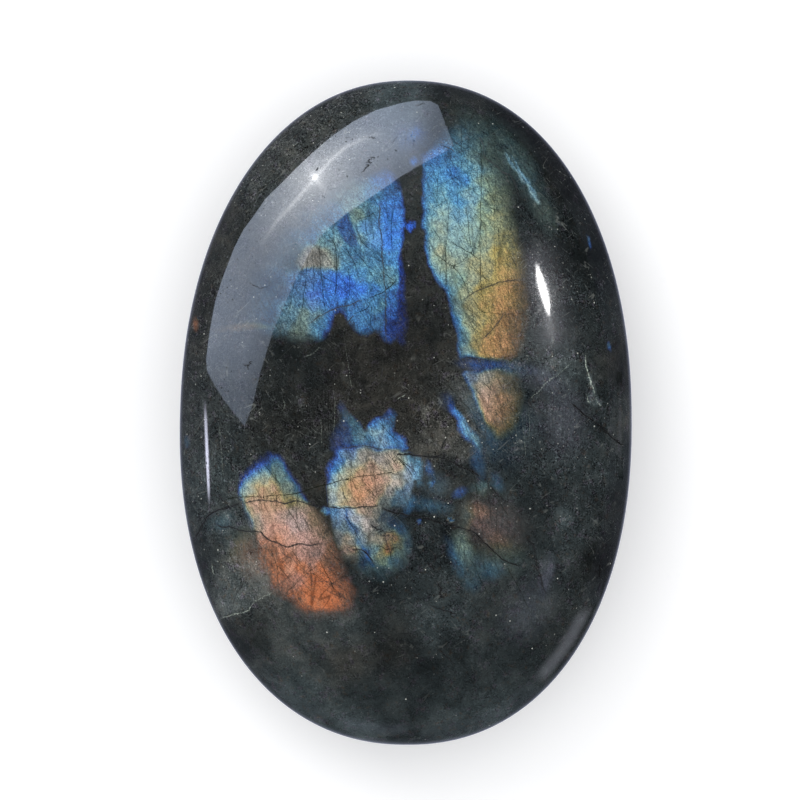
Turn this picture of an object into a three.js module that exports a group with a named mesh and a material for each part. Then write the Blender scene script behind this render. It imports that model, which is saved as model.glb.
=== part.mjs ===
// A polished labradorite palm stone: one oval pebble, domed like a lens on both faces, with a rounded edge.
// Millimetres, +Z up. The stone lies on its back: its front face looks along +Z and its length runs along Y.
// The origin is on the surface that the stone rests on, under the middle of its outline.
import * as THREE from "three";

// Overall size of the outline, seen from the front
const LENGTH = 70.0;
const WIDTH = 47.6;

// The outline is an oval a little squarer than an ellipse and a little broader at its lower end.
// It also bows and leans by the small amounts that a stone held by hand gets on the grinding wheel.
const ELLIPSE_SQUARENESS = 2;
const OUTLINE_SQUARENESS = 2.18;
const LOWER_END_BREADTH = 0.029; // share of the half width that the lower end gains and the upper end loses
const SIDEWAYS_BOW = 0.0097; // share of the half width by which both ends sit to the right
const LEAN = THREE.MathUtils.degToRad(-0.6);

// The section through the short sides. From the crown of a face out to the widest line, the surface
// turns steadily by the face's turn, and the rest of the quarter turn comes near the edge: the higher
// the suddenness, the later. Both faces bend equally sharply where they meet, so the edge has no seam.
const FRONT_FACE = { turn: 44, suddenness: 7 };
const BACK_FACE = { turn: 40, suddenness: 6.5 };
const QUARTER_TURN = 90;
const RESTING_FLAT_SHARE = 0.25; // the flat ground on the back, as a share of the way to the outline

// Facets
const STEPS_AROUND = 88;
const FRONT_STEPS = 24;
const BACK_STEPS = 20;
const EDGE_CROWDING = 1.5; // rings lie closer together towards the edge, where the surface turns fastest
const INTEGRATION_STEPS = 200;

// Grey-black labradorite with a glassy polish
const STONE_FINISH = { color: 0x33383a, roughness: 0.06, metalness: 0.0 };

const HALF_WIDTH = WIDTH / 2;
const HALF_LENGTH = LENGTH / 2;

// How far a face's curve has run outwards and dropped by the time it has covered a share of its own
// length, for a curve of length 1.
function curveAt(face, along) {
  let outwards = 0;
  let drop = 0;
  for (let i = 0; i < INTEGRATION_STEPS; i++) {
    const t = (along * (i + 0.5)) / INTEGRATION_STEPS;
    const edgeTurn = (QUARTER_TURN - face.turn) * t ** face.suddenness;
    const slope = THREE.MathUtils.degToRad(face.turn * t + edgeTurn);
    outwards += (Math.cos(slope) * along) / INTEGRATION_STEPS;
    drop += (Math.sin(slope) * along) / INTEGRATION_STEPS;
  }
  return { outwards, drop };
}

// A face's section from its crown to the widest line, as points of a share of the way to the outline
// and a height over the widest line.
function faceSection(face, steps) {
  const whole = curveAt(face, 1);
  const size = HALF_WIDTH / whole.outwards;
  const points = [];
  for (let step = 0; step <= steps; step++) {
    const here = curveAt(face, 1 - (1 - step / steps) ** EDGE_CROWDING);
    const share = here.outwards / whole.outwards;
    points.push(new THREE.Vector2(share, (whole.drop - here.drop) * size));
  }
  return points;
}

// The whole section, from the middle of the resting flat round the edge to the crown of the front.
function stoneSection() {
  const back = faceSection(BACK_FACE, BACK_STEPS);
  const next = back.findIndex((point) => point.x > RESTING_FLAT_SHARE);
  const between = (RESTING_FLAT_SHARE - back[next - 1].x) / (back[next].x - back[next - 1].x);
  const flatRim = back[next - 1].clone().lerp(back[next], between);
  const widestHeight = flatRim.y;
  const belowEdge = [flatRim, ...back.slice(next)];
  const aboveEdge = faceSection(FRONT_FACE, FRONT_STEPS).reverse().slice(1);
  return [
    new THREE.Vector2(0, 0),
    ...belowEdge.map(({ x, y }) => new THREE.Vector2(x, widestHeight - y)),
    ...aboveEdge.map(({ x, y }) => new THREE.Vector2(x, widestHeight + y)),
  ];
}

// A point of the plan, from its share of the way to the outline and its direction on a unit circle.
// The plan is an ellipse at the crown and turns squarer towards the outline, so the crown has no crease.
function planPoint(share, direction) {
  const squareness = ELLIPSE_SQUARENESS + (OUTLINE_SQUARENESS - ELLIPSE_SQUARENESS) * share ** 2;
  const across = Math.abs(direction.x) ** squareness;
  const along = Math.abs(direction.y) ** squareness;
  const reach = share * (across + along) ** (-1 / squareness);
  const v = reach * direction.y;
  const u = reach * direction.x * (1 - LOWER_END_BREADTH * v) + SIDEWAYS_BOW * v ** 2;
  const origin = new THREE.Vector2(0, 0);
  return new THREE.Vector2(u * HALF_WIDTH, v * HALF_LENGTH).rotateAround(origin, LEAN);
}

// The section is turned on a lathe into a round stone of radius 1, and its plan is then drawn out
// to the oval, ring by ring.
function stoneGeometry() {
  const geometry = new THREE.LatheGeometry(stoneSection(), STEPS_AROUND);
  geometry.rotateX(Math.PI / 2);
  const corners = geometry.getAttribute("position");
  for (let i = 0; i < corners.count; i++) {
    const flat = new THREE.Vector2(corners.getX(i), corners.getY(i));
    const share = flat.length();
    const point = planPoint(share, share > 0 ? flat.divideScalar(share) : new THREE.Vector2(1, 0));
    corners.setXY(i, point.x, point.y);
  }
  geometry.computeVertexNormals();
  return geometry;
}

const stone = new THREE.Mesh(stoneGeometry(), new THREE.MeshStandardMaterial(STONE_FINISH));
stone.name = "stone";

const palmStone = new THREE.Group();
palmStone.add(stone);

export default palmStone;
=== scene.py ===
# %% [markdown]
# # A polished labradorite palm stone
# The real object is one dark pebble of feldspar, ground to a lens with a rounded edge and polished
# until it mirrors the lamps. Thin layers inside it throw back patches of blue, green, gold and copper
# light. This lesson loads the stone's frame, models the smooth pebble, draws its flashes and cracks as
# attributes of the mesh, mixes them in one material, and then places the lamps by running the camera's
# view backwards over the polish.

# %% Load the frame
import functools
import math
import bpy
import numpy as np
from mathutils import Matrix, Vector


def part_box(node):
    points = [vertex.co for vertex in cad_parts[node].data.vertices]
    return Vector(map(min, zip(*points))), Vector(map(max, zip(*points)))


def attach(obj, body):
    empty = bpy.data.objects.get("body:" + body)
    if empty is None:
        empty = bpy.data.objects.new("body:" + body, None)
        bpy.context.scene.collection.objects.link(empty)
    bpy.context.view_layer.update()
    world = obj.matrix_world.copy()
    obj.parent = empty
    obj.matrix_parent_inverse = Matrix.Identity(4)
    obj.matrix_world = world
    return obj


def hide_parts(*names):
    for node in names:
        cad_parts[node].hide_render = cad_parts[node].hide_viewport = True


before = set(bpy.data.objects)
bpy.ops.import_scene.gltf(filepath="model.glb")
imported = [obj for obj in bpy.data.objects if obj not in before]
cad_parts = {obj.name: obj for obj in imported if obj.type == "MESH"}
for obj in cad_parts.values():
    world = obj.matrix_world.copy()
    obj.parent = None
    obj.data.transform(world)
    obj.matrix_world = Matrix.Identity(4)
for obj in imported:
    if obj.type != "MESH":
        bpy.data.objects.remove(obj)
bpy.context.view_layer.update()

LOW, HIGH = (np.array(corner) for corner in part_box("stone"))
print("stone's box in mm:", np.round((HIGH - LOW) * 1000, 2))

# %% [markdown]
# ## Where the camera stands
# The photograph looks straight down on the front face, with the stone's length upright in a square
# picture. Four pixel rows and columns, where the stone touches its own bounding box, give the scale.
# Everything drawn later is given in pixels of that picture, so the camera comes first. A long lens
# from 0.9 m keeps the perspective as flat as it is on a small object photographed for sale.

# %% Scale of the photograph, and the camera
PICTURE = 800
STONE_LEFT, STONE_RIGHT = 179.5, 632.0
STONE_TOP, STONE_BOTTOM = 80.5, 744.8
CAMERA_DISTANCE = 0.9
SENSOR = 36.0
pixel = (HIGH[1] - LOW[1]) / (STONE_BOTTOM - STONE_TOP)
middle = (LOW + HIGH) / 2
aim_x = middle[0] + (PICTURE / 2 - (STONE_LEFT + STONE_RIGHT) / 2) * pixel
aim_y = middle[1] - (PICTURE / 2 - (STONE_TOP + STONE_BOTTOM) / 2) * pixel

camera = bpy.data.objects.new("camera", bpy.data.cameras.new("camera"))
bpy.context.scene.collection.objects.link(camera)
bpy.context.scene.camera = camera
camera.data.sensor_width = SENSOR
camera.data.lens = SENSOR * CAMERA_DISTANCE / (PICTURE * pixel)
print("one pixel is", round(pixel * 1000, 4), "mm, lens", round(camera.data.lens, 1), "mm")

# %% [markdown]
# ## The form of the pebble
# The outline is an oval slightly squarer than an ellipse and slightly broader at its lower end. The
# section is a curve whose slope grows steadily from the crown of a face and then turns quickly into
# the edge. These are the same few numbers that the solid model is built from, so the smooth stone
# fills the same space. Writing the form as formulas has a second use: the lamps need to know which
# way the polish faces at any pixel.

# %% Outline and section
OUTLINE_SQUARENESS = 2.18
LOWER_END_BREADTH = 0.029
SIDEWAYS_BOW = 0.0097
LEAN = math.radians(-0.6)
FRONT_FACE = {"turn": 44, "suddenness": 7}
BACK_FACE = {"turn": 40, "suddenness": 6.5}
RESTING_FLAT_SHARE = 0.25
CURVE_STEPS = 4000
SHARE_ROUNDS = 6  # of finding the share again with the squareness that it gives
HALF_LENGTH = 0.035
HALF_WIDTH = 0.0238


def face_curve(turn, suddenness):
    """Shares of the way to the outline, and heights over the widest line, at even steps of the curve."""
    along = (np.arange(CURVE_STEPS) + 0.5) / CURVE_STEPS
    slope = np.radians(turn * along + (90 - turn) * along ** suddenness)
    outwards = np.concatenate([[0], np.cumsum(np.cos(slope))])
    drop = np.concatenate([[0], np.cumsum(np.sin(slope))])
    return outwards / outwards[-1], (drop[-1] - drop) * HALF_WIDTH / outwards[-1]


front_share, front_rise = face_curve(**FRONT_FACE)
back_share, back_rise = face_curve(**BACK_FACE)
WIDEST = float(np.interp(RESTING_FLAT_SHARE, back_share, back_rise))
crown = WIDEST + front_rise[0]
print("widest line at", round(WIDEST * 1000, 2), "mm, crown at", round(crown * 1000, 2), "mm")


def squareness(share):
    """The plan is an ellipse at the crown and squarer towards the outline."""
    return 2 + (OUTLINE_SQUARENESS - 2) * share ** 2


def plan_point(share, across, along):
    """Place in plan of a share of the way to the outline, in a direction given by its cosine and sine."""
    power = squareness(share)
    reach = share * (np.abs(across) ** power + np.abs(along) ** power) ** (-1 / power)
    v = reach * along
    u = reach * across * (1 - LOWER_END_BREADTH * v) + SIDEWAYS_BOW * v ** 2
    x, y = u * HALF_WIDTH, v * HALF_LENGTH
    return x * math.cos(LEAN) - y * math.sin(LEAN), x * math.sin(LEAN) + y * math.cos(LEAN)


def front_height(x, y):
    """Height of the front face over a place in plan, found by undoing plan_point."""
    v = (y * math.cos(LEAN) - x * math.sin(LEAN)) / HALF_LENGTH
    u = (x * math.cos(LEAN) + y * math.sin(LEAN)) / HALF_WIDTH
    u = (u - SIDEWAYS_BOW * v ** 2) / (1 - LOWER_END_BREADTH * v)
    share = np.hypot(u, v)
    for _ in range(SHARE_ROUNDS):
        power = squareness(share)
        share = (np.abs(u) ** power + np.abs(v) ** power) ** (1 / power)
    return WIDEST + np.interp(share, front_share, front_rise)


# %% [markdown]
# ## Modelling the stone
# A lathe or a UV sphere would leave a pole in the middle of the face, where the polish shows it. A
# cube that is subdivided and rounded has no pole, and its faces stay nearly square. Each point is then
# slid along the section and the outline. The front gets more of the points than the back, because the
# drawn flashes are only as fine as the mesh that carries them.

# %% Model the stone
FRONT_SPREAD = math.radians(105)  # how far from its front pole the rounded cube holds the front face
BACK_SPREAD = math.pi - FRONT_SPREAD
COARSE_CUTS, FINE_CUTS = 31, 3
TINY = 1e-9

bpy.ops.object.select_all(action="DESELECT")
bpy.ops.mesh.primitive_cube_add(size=2)
stone = bpy.context.object
stone.name = stone.data.name = "polished_stone"
bpy.ops.object.mode_set(mode="EDIT")
bpy.ops.mesh.select_all(action="SELECT")
bpy.ops.mesh.subdivide(number_cuts=COARSE_CUTS)
bpy.ops.mesh.subdivide(number_cuts=FINE_CUTS)
bpy.ops.object.mode_set(mode="OBJECT")
bpy.ops.object.shade_smooth()

count = len(stone.data.vertices)
cube = np.empty(count * 3)
stone.data.vertices.foreach_get("co", cube)
ball = np.tan(cube.reshape(-1, 3) * math.pi / 4)
ball /= np.linalg.norm(ball, axis=1, keepdims=True)

from_pole = np.arccos(np.clip(ball[:, 2], -1, 1))
round_axis = np.hypot(ball[:, 0], ball[:, 1])
is_front = from_pole <= FRONT_SPREAD
along_face = np.where(is_front, from_pole / FRONT_SPREAD, (math.pi - from_pole) / BACK_SPREAD)
steps = np.linspace(0, 1, CURVE_STEPS + 1)
share, rise = (np.where(is_front, np.interp(along_face, steps, front), np.interp(along_face, steps, back))
               for front, back in ((front_share, back_share), (front_rise, -back_rise)))
on_axis = round_axis < TINY
across = np.where(on_axis, 1, ball[:, 0] / np.maximum(round_axis, TINY))
along = np.where(on_axis, 0, ball[:, 1] / np.maximum(round_axis, TINY))
plan_x, plan_y = plan_point(share, across, along)
place = np.stack([plan_x, plan_y, np.maximum(WIDEST + rise, 0)], axis=1)
own_low, own_high = place.min(axis=0), place.max(axis=0)
place = LOW + (place - own_low) / (own_high - own_low) * (HIGH - LOW)
stone.data.vertices.foreach_set("co", place.ravel())
stone.data.update()
print("stone:", count, "points,", 2 * len(stone.data.polygons), "triangles")

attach(stone, "root")
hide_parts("stone")

# %% [markdown]
# ## Where each point shows in the picture
# Patches and cracks are drawn as outlines in pixels of the picture. Each point of the mesh is looked
# up where the camera sees it, once, and what it finds is stored on it as an attribute. From then on the
# marks belong to the stone and stay put whichever way it is seen. A little smooth random drift makes
# the drawn edges as ragged as natural ones.

# %% Picture position of every point
LATTICE = 128  # random numbers along each side of the table that drift reads between
LATTICE_START = 20
camera.location = (aim_x, aim_y, WIDEST + CAMERA_DISTANCE)


def seen_at(points):
    """Pixel column and row at which the camera sees each point."""
    scale = CAMERA_DISTANCE / (CAMERA_DISTANCE + WIDEST - points[:, 2]) / pixel
    column = PICTURE / 2 + (points[:, 0] - aim_x) * scale
    row = PICTURE / 2 - (points[:, 1] - aim_y) * scale
    return np.stack([column, row], axis=1)


def drift(points, size, seed):
    """Smooth random numbers from -1 to 1 over the picture, one for each point, in lumps of a size."""
    table = np.random.default_rng(seed).uniform(-1, 1, (LATTICE, LATTICE))
    cell = points / size + LATTICE_START
    corner = np.floor(cell).astype(int)
    part = cell - corner
    part = part * part * (3 - 2 * part)
    value = 0
    for dx in (0, 1):
        for dy in (0, 1):
            weight = np.abs(1 - dx - part[:, 0]) * np.abs(1 - dy - part[:, 1])
            at = (corner + (dx, dy)) % LATTICE
            value = value + weight * table[at[:, 0], at[:, 1]]
    return value


pixels = seen_at(place)
ragged = pixels.copy()
for size, amount, seed in ((14, 2.0, 1), (6, 1.3, 3)):
    ragged[:, 0] += amount * drift(pixels, size, seed)
    ragged[:, 1] += amount * drift(pixels, size, seed + 1)
faces_front = place[:, 2] > WIDEST
print("points on the front:", int(faces_front.sum()))

# %% [markdown]
# ## A brush for patches of colour
# A flash is stored as three numbers: its place in the order of colours that thin layers give, from
# violet through blue, green and gold to copper; how strongly it glows; and how milky it is. A patch is
# an outline and some dabs. Each dab says the three numbers at one place, in hundredths and with milk
# left out where there is none, and between dabs they blend. An outline point may carry two more
# numbers, in pixels: how wide the patch fades there, and how wide its blue rim is. A real flash has
# such a rim, a little dimmer than its middle, where its layers end sharply, and none where they dip.

# %% The brush
SHARP = 2.5  # pixels over which a patch fades where its outline says nothing else
THIN_RIM = 2  # pixels; a rim narrower than this is only partly blue
RIM_FALL = 1.3  # the higher, the more suddenly the rim ends inwards
RIM_DIMMING = 0.4
flash = np.zeros((count, 3))


def smooth(value):
    """A smooth step from 0 to 1 as the value goes from 0 to 1."""
    value = np.clip(value, 0, 1)
    return value * value * (3 - 2 * value)


def depth_inside(points, outline):
    """How deep in an outline each point lies, and the nearest edge's fade and rim, all in pixels."""
    nearest = np.full(len(points), np.inf)
    edge = np.zeros((len(points), 2))
    inside = np.zeros(len(points), bool)
    px, py = points[:, 0], points[:, 1]
    corners = [(*p, *(SHARP, 0)[len(p) - 2:]) for p in outline]
    for (ax, ay, *a_edge), (bx, by, *b_edge) in zip(corners, corners[1:] + corners[:1]):
        dx, dy = bx - ax, by - ay
        t = np.clip(((px - ax) * dx + (py - ay) * dy) / (dx * dx + dy * dy), 0, 1)
        distance = np.hypot(px - ax - t * dx, py - ay - t * dy)
        closer = distance < nearest
        nearest[closer] = distance[closer]
        edge[closer] = np.array(a_edge) + t[closer, None] * np.subtract(b_edge, a_edge)
        if ay != by:
            crosses = (ay > py) != (by > py)
            inside ^= crosses & (px < ax + (py - ay) * dx / dy)
    return np.where(inside, nearest, -nearest), edge[:, 0], edge[:, 1]


def blend_dabs(points, dabs, reach=9.0):
    """The numbers of the dabs round each point, the nearest counting most."""
    summed, weights = 0, 0
    for x, y, *numbers in dabs:
        weight = 1 / ((points[:, 0] - x) ** 2 + (points[:, 1] - y) ** 2 + reach) ** 2
        summed = summed + weight[:, None] * (np.array((*numbers, 0)[:3]) / 100)
        weights = weights + weight
    return summed / weights[:, None]


def lay_on(near, cover, numbers):
    """Lays colour over what is there. Order and milk count only as far as their flash glows."""
    under = flash[near]
    kept = under[:, 1] * (1 - cover)
    added = numbers[:, 1] * cover
    share = (added / np.maximum(kept + added, 1e-6))[:, None]
    mixed = under * (1 - share) + numbers * share
    mixed[:, 1] = kept + added
    flash[near] = np.where((cover > 0)[:, None], mixed, under)


def brush(outline, dabs, rim_order=13, front=True):
    """Paints one patch over what is there. In its rim the order falls to the rim's order, in hundredths."""
    margin = max([p[2] for p in outline if len(p) > 2], default=SHARP) / 2
    low = np.min([p[:2] for p in outline], axis=0) - margin
    high = np.max([p[:2] for p in outline], axis=0) + margin
    near = np.flatnonzero(np.all((ragged > low) & (ragged < high), axis=1) & (faces_front == front))
    points = ragged[near]
    depth, fade, rim = depth_inside(points, outline)
    numbers = blend_dabs(points, dabs)
    inwards = np.maximum(depth, 0) / np.maximum(rim, 0.1)
    blue_shift = np.exp(-inwards ** RIM_FALL) * smooth(rim / THIN_RIM)
    numbers[:, 0] -= np.maximum(numbers[:, 0] - rim_order / 100, 0) * blue_shift
    numbers[:, 1] *= 1 - RIM_DIMMING * blue_shift
    numbers[:, 2] *= 1 - blue_shift
    lay_on(near, smooth(depth / fade + 0.5), numbers)


def haze(x, y, width, height, lean, order, glow, milk=0):
    """A soft oval cloud of one colour on the front, leaning clockwise by some degrees."""
    distance = np.hypot(ragged[:, 0] - x, ragged[:, 1] - y)
    near = np.flatnonzero((distance < max(width, height)) & faces_front)
    away = ragged[near] - (x, y)
    c, s = math.cos(math.radians(lean)), math.sin(math.radians(lean))
    across = (away[:, 0] * c + away[:, 1] * s) / width
    along = (away[:, 1] * c - away[:, 0] * s) / height
    added = glow / 100 * smooth(1 - np.hypot(across, along))
    under = flash[near]
    share = (added / np.maximum(under[:, 1] + added, 1e-6))[:, None]
    mixed = under * (1 - share) + np.array([order / 100, 0, milk / 100]) * share
    mixed[:, 1] = 1 - (1 - under[:, 1]) * (1 - added)
    flash[near] = np.where((added > 0)[:, None], mixed, under)


# %% [markdown]
# ## The blue field, upper left
# The largest flash lies under the soft lamp's reflection and comes out of it to the right. It is royal
# blue at its foot, teal and sea green in the middle and bright blue along the dark spire. It ends at
# the bottom in a ragged line with one deep notch.

# %% Paint the blue field
brush(
    rim_order=20,
    outline=[
        (397, 178, 8), (400, 186, 6), (403, 198, 4, 2), (405, 221, 2.5, 2), (403, 229, 2.5, 2),
        (406, 239, 2.5, 2), (403, 252, 2.5, 2), (400, 262, 3), (399, 300, 3), (399, 334, 8), (392, 342, 8),
        (386, 339, 8), (381, 333, 7), (374, 330, 7), (366, 333, 8), (357, 329, 8), (349, 321, 6),
        (344, 314, 3, 3), (337, 310, 3, 4), (331, 315, 3, 4), (329, 330, 5, 4), (322, 336, 12),
        (300, 337, 16), (285, 334, 16), (268, 330, 22), (258, 315, 40), (268, 285, 45), (290, 250, 45),
        (312, 220, 40), (345, 192, 30), (370, 180, 20), (386, 172, 14),
    ],
    dabs=[
        (392, 186, 30, 36), (398, 180, 24, 22), (376, 198, 36, 42), (364, 206, 42, 42), (360, 213, 50, 42),
        (375, 213, 36, 45), (392, 205, 27, 65), (385, 206, 28, 65), (388, 217, 26, 90), (398, 222, 28, 80),
        (388, 240, 26.5, 95), (399, 240, 30, 95), (392, 258, 32, 90), (388, 272, 42, 60),
        (390, 281, 44, 50), (368, 229, 35, 85, 10), (362, 238, 42, 80, 10), (374, 240, 33, 90, 10),
        (375, 256, 37, 58), (362, 262, 40, 56), (352, 256, 36, 50), (347, 266, 36, 65), (331, 236, 40, 56),
        (324, 240, 44, 50), (337, 246, 44, 55, 10), (327, 254, 56, 50, 30), (345, 250, 38, 52),
        (335, 262, 48, 55, 20), (371, 274, 40, 70), (360, 274, 34, 65), (380, 281, 42, 50),
        (312, 276, 30, 52, 10), (322, 284, 27, 66), (335, 278, 25, 85), (348, 284, 24, 95),
        (345, 294, 25, 90), (362, 288, 27, 95), (300, 286, 32, 42, 10), (330, 298, 27, 75),
        (313, 296, 27, 70, 10), (372, 290, 31, 70), (298, 304, 37, 46, 10), (310, 308, 33, 65, 20),
        (304, 315, 50, 42, 10), (318, 316, 44, 50, 10), (290, 314, 42, 45, 10), (300, 328, 50, 30, 10),
        (284, 324, 42, 35, 10), (270, 315, 34, 15), (280, 290, 34, 15, 10), (295, 260, 40, 12),
        (312, 235, 34, 30), (330, 215, 36, 30), (352, 198, 46, 35, 10), (322, 325, 36, 50),
        (326, 318, 34, 62), (350, 306, 31, 55), (365, 317, 33, 50), (374, 302, 35, 60), (382, 304, 42, 50),
        (379, 324, 32, 36), (394, 288, 29, 50), (391, 298, 30, 50), (392, 312, 26, 46), (393, 326, 18, 30),
    ],
)

# %% [markdown]
# Smaller shapes are painted over the field: a dark blue wedge, a brown band with a sharp foot, the
# violet strip on the far side of the upright crack, and the dark speck that sits in the spire.

# %% Paint the wedge, the brown band and the strip
brush(
    outline=[
        (336, 222, 3), (348, 213, 3), (353, 224), (355, 232), (357, 241, 4), (364, 252, 6), (362, 262, 8),
        (353, 252, 4), (346, 245), (341, 238), (338, 230),
    ],
    dabs=[(347, 226, 27, 30), (352, 238, 29, 32), (359, 252, 36, 40)],
)
brush(
    outline=[
        (297, 262, 10), (308, 248, 10), (318, 246, 10), (328, 252, 10), (334, 260, 10), (336, 267, 6),
        (326, 269.5, 3), (314, 269, 3), (303, 270, 4),
    ],
    dabs=[(312, 255, 58, 38, 70), (313, 264, 58, 46, 70), (326, 264, 56, 52, 60)],
)
brush(
    outline=[(399.5, 255, 3), (403, 256, 5), (405, 285, 6), (406, 320, 8), (404, 342, 10), (399.5, 341, 6)],
    dabs=[(401, 262, 15, 45), (402, 300, 13, 42), (402, 335, 12, 30)],
)
brush(
    outline=[
        (405, 224), (408, 221), (413, 220.5), (417, 222), (416, 227), (413, 229), (412, 233), (409, 231),
        (406, 229),
    ],
    dabs=[(409, 226, 18, 85), (415, 224, 22, 90)],
)

# %% [markdown]
# ## The gold field, right of the spire
# This flash runs through nearly the whole order: a thin azure rim on the left, sky blue at the top,
# pale sea green in the middle, and gold towards the right and the foot. On its right side it fades out
# over a wide stretch with no rim, because there the layers tilt away from the light.

# %% Paint the gold field
brush(
    rim_order=28,
    outline=[
        (424, 164, 4), (425, 176, 3, 3), (422.5, 191, 3, 3), (423, 204, 3, 4), (424.5, 212, 3, 3),
        (422, 222, 3, 4), (424, 232, 3, 3), (423, 240, 3, 4), (423, 250, 3, 5), (428, 262, 3, 5),
        (434, 272, 3, 4), (441, 283, 3, 4), (447, 295, 3, 4), (449.5, 305, 3, 4), (453.5, 321, 3, 5),
        (457, 341, 3, 5), (459.5, 358, 3, 5), (468, 355.5, 3, 2), (486, 355.5), (498, 356.5, 4),
        (512, 357, 12), (517, 350, 22), (519, 325, 26), (520, 295, 26), (516, 270, 28), (510, 240, 30),
        (503, 215, 30), (500, 190, 34), (492, 168, 36), (480, 148, 36), (465, 132, 32), (448, 138, 26),
        (434, 150, 16),
    ],
    dabs=[
        (430, 172, 34, 60), (440, 175, 36, 85), (433, 160, 32, 45), (448, 158, 34, 40), (454, 173, 31, 70),
        (462, 166, 40, 60), (465, 180, 33, 75), (473, 170, 42, 60), (462, 146, 40, 32), (475, 155, 46, 40),
        (488, 160, 50, 25), (430, 190, 37, 72), (440, 190, 41, 80), (442, 200, 42, 75), (455, 190, 36, 80),
        (462, 202, 36, 90), (475, 190, 44, 75), (485, 182, 52, 55), (492, 197, 58, 50),
        (470, 196, 44, 88, 10), (431, 214, 43, 75), (443, 214, 49, 95, 10), (459, 214, 40, 85, 10),
        (470, 208, 45, 85, 10), (484, 208, 54, 75), (492, 219, 62, 72), (440, 230, 53, 85, 20),
        (430, 232, 47, 72), (455, 232, 46, 80, 10), (474, 231, 49, 95, 10), (487, 226, 56, 80),
        (500, 240, 64, 70), (432, 248, 49, 85, 10), (440, 250, 60, 85, 20), (452, 248, 48, 80, 10),
        (470, 246, 50, 85, 10), (485, 246, 57, 85, 10), (497, 252, 68, 90), (508, 262, 70, 60),
        (437, 264, 55, 85, 10), (450, 262, 56, 80, 20), (462, 260, 54, 75, 20), (475, 264, 63, 80, 10),
        (487, 270, 65, 72, 10), (500, 274, 73, 90), (447, 280, 50, 80, 5), (460, 280, 50, 80),
        (472, 279, 59, 82, 15), (452, 292, 47, 70), (466, 290, 60, 72, 10), (484, 290, 70, 66),
        (502, 292, 76, 90), (514, 290, 75, 50), (457, 307, 50, 50, 10), (472, 306, 64, 52, 10),
        (486, 306, 72, 66), (500, 306, 77, 80), (459, 324, 40, 75), (468, 323, 60, 60, 10),
        (480, 322, 68, 75, 10), (488, 326, 74, 75), (500, 325, 77, 62), (510, 320, 77, 40),
        (464, 343, 45, 52), (475, 343, 70, 56, 10), (486, 345, 76, 80), (490, 346, 78, 85),
        (504, 344, 79, 66), (513, 340, 78, 34), (466, 352, 48, 50, 10),
    ],
)

# %% [markdown]
# ## The teal veil, upper right
# Beside the gold field a faint teal veil reaches to the edge, with bright threads in it where a crack
# catches the light.

# %% Paint the teal veil and its threads
for cloud in (
    (480, 130, 50, 26, 30, 47, 8), (505, 150, 46, 30, 40, 48, 8), (525, 175, 20, 52, -36, 46, 13),
    (545, 215, 14, 32, -30, 50, 10),
):
    haze(*cloud)
for thread in (
    [
        (504, 153, 1.5), (510, 160, 1.5), (518, 171, 1.5), (524, 182, 1.5), (522, 181, 1.5),
        (515, 171, 1.5), (508, 161, 1.5),
    ],
    [
        (511, 157, 1.5), (520, 168, 1.5), (527, 181, 2), (534, 196, 3), (532, 196, 3), (525, 182, 2),
        (518, 170, 1.5),
    ],
    [(524, 176, 2), (533, 187, 3), (541, 203, 4), (539, 204, 4), (531, 190, 3)],
):
    brush(outline=thread, dabs=[(*thread[1][:2], 42, 60, 10), (*thread[3][:2], 45, 75, 20)])

# %% [markdown]
# ## Below the fault
# A straight dark fault cuts the gold field off. Below it the same layers go on as a small peach
# triangle with a blue rim, a blue sliver beside it, and a dark blue mist.

# %% Paint the triangle, the sliver and the mist
for cloud in (
    (482, 364, 36, 9, 3, 24, 22), (562, 420, 36, 56, -10, 30, 8, 100), (544, 378, 32, 18, 20, 30, 10, 90),
    (512, 368, 36, 11, 10, 32, 10), (505, 425, 44, 60, 0, 36, 4),
):
    haze(*cloud)
brush(
    rim_order=26,
    outline=[
        (462, 373, 4, 3), (474, 370.5, 4, 3), (487, 369.5, 6, 2), (497, 372, 14), (511, 379, 24),
        (515, 394, 28), (512, 411, 28), (507, 428, 22), (499, 435, 16), (492, 429, 8), (487, 421, 4),
        (483, 415, 3, 1), (476.5, 403, 3, 2), (470, 390, 3, 3), (465, 380, 3, 3),
    ],
    dabs=[
        (473, 379, 42, 46, 60), (483, 380, 62, 48, 60), (478, 389, 72, 70, 60), (486, 393, 77, 75, 45),
        (486, 404, 78, 85, 35), (490, 413, 79, 70, 25), (494, 389, 75, 46, 35), (496, 402, 78, 60, 20),
        (502, 396, 77, 42, 10), (502, 412, 77, 36, 10), (497, 424, 77, 30, 10), (507, 385, 70, 22, 30),
    ],
)
brush(
    rim_order=26,
    outline=[
        (450, 399, 5), (454, 403, 4), (460, 412, 3), (466, 422, 3), (472, 431, 3), (477, 440, 4),
        (479, 448, 6), (472, 445, 5, 2), (465, 437, 4, 2), (459, 428, 3, 3), (454, 417, 3, 3),
        (450, 407, 3, 2),
    ],
    dabs=[
        (453, 405, 24, 40), (456, 413, 33, 75), (461, 422, 38, 90, 15), (467, 432, 38, 70, 10),
        (474, 441, 46, 50, 10),
    ],
)
for cloud in (
    (448, 400, 12, 12, 60, 26, 6), (466, 400, 12, 30, -30, 50, 10, 60), (477, 416, 10, 36, -26, 38, 12, 10),
    (477, 458, 9, 32, -12, 33, 15), (488, 440, 20, 26, -14, 36, 6), (497, 483, 9, 16, -35, 36, 14),
):
    haze(*cloud)

# %% [markdown]
# ## The left flame
# The warmest flash: it starts at the top in violet, blue and cyan, turns to cream, and runs down
# through peach and salmon into deep copper, where it stops in a dark brown glow. A dull teal streak
# runs down its right shoulder, and beyond it the glow is brown.

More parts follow.
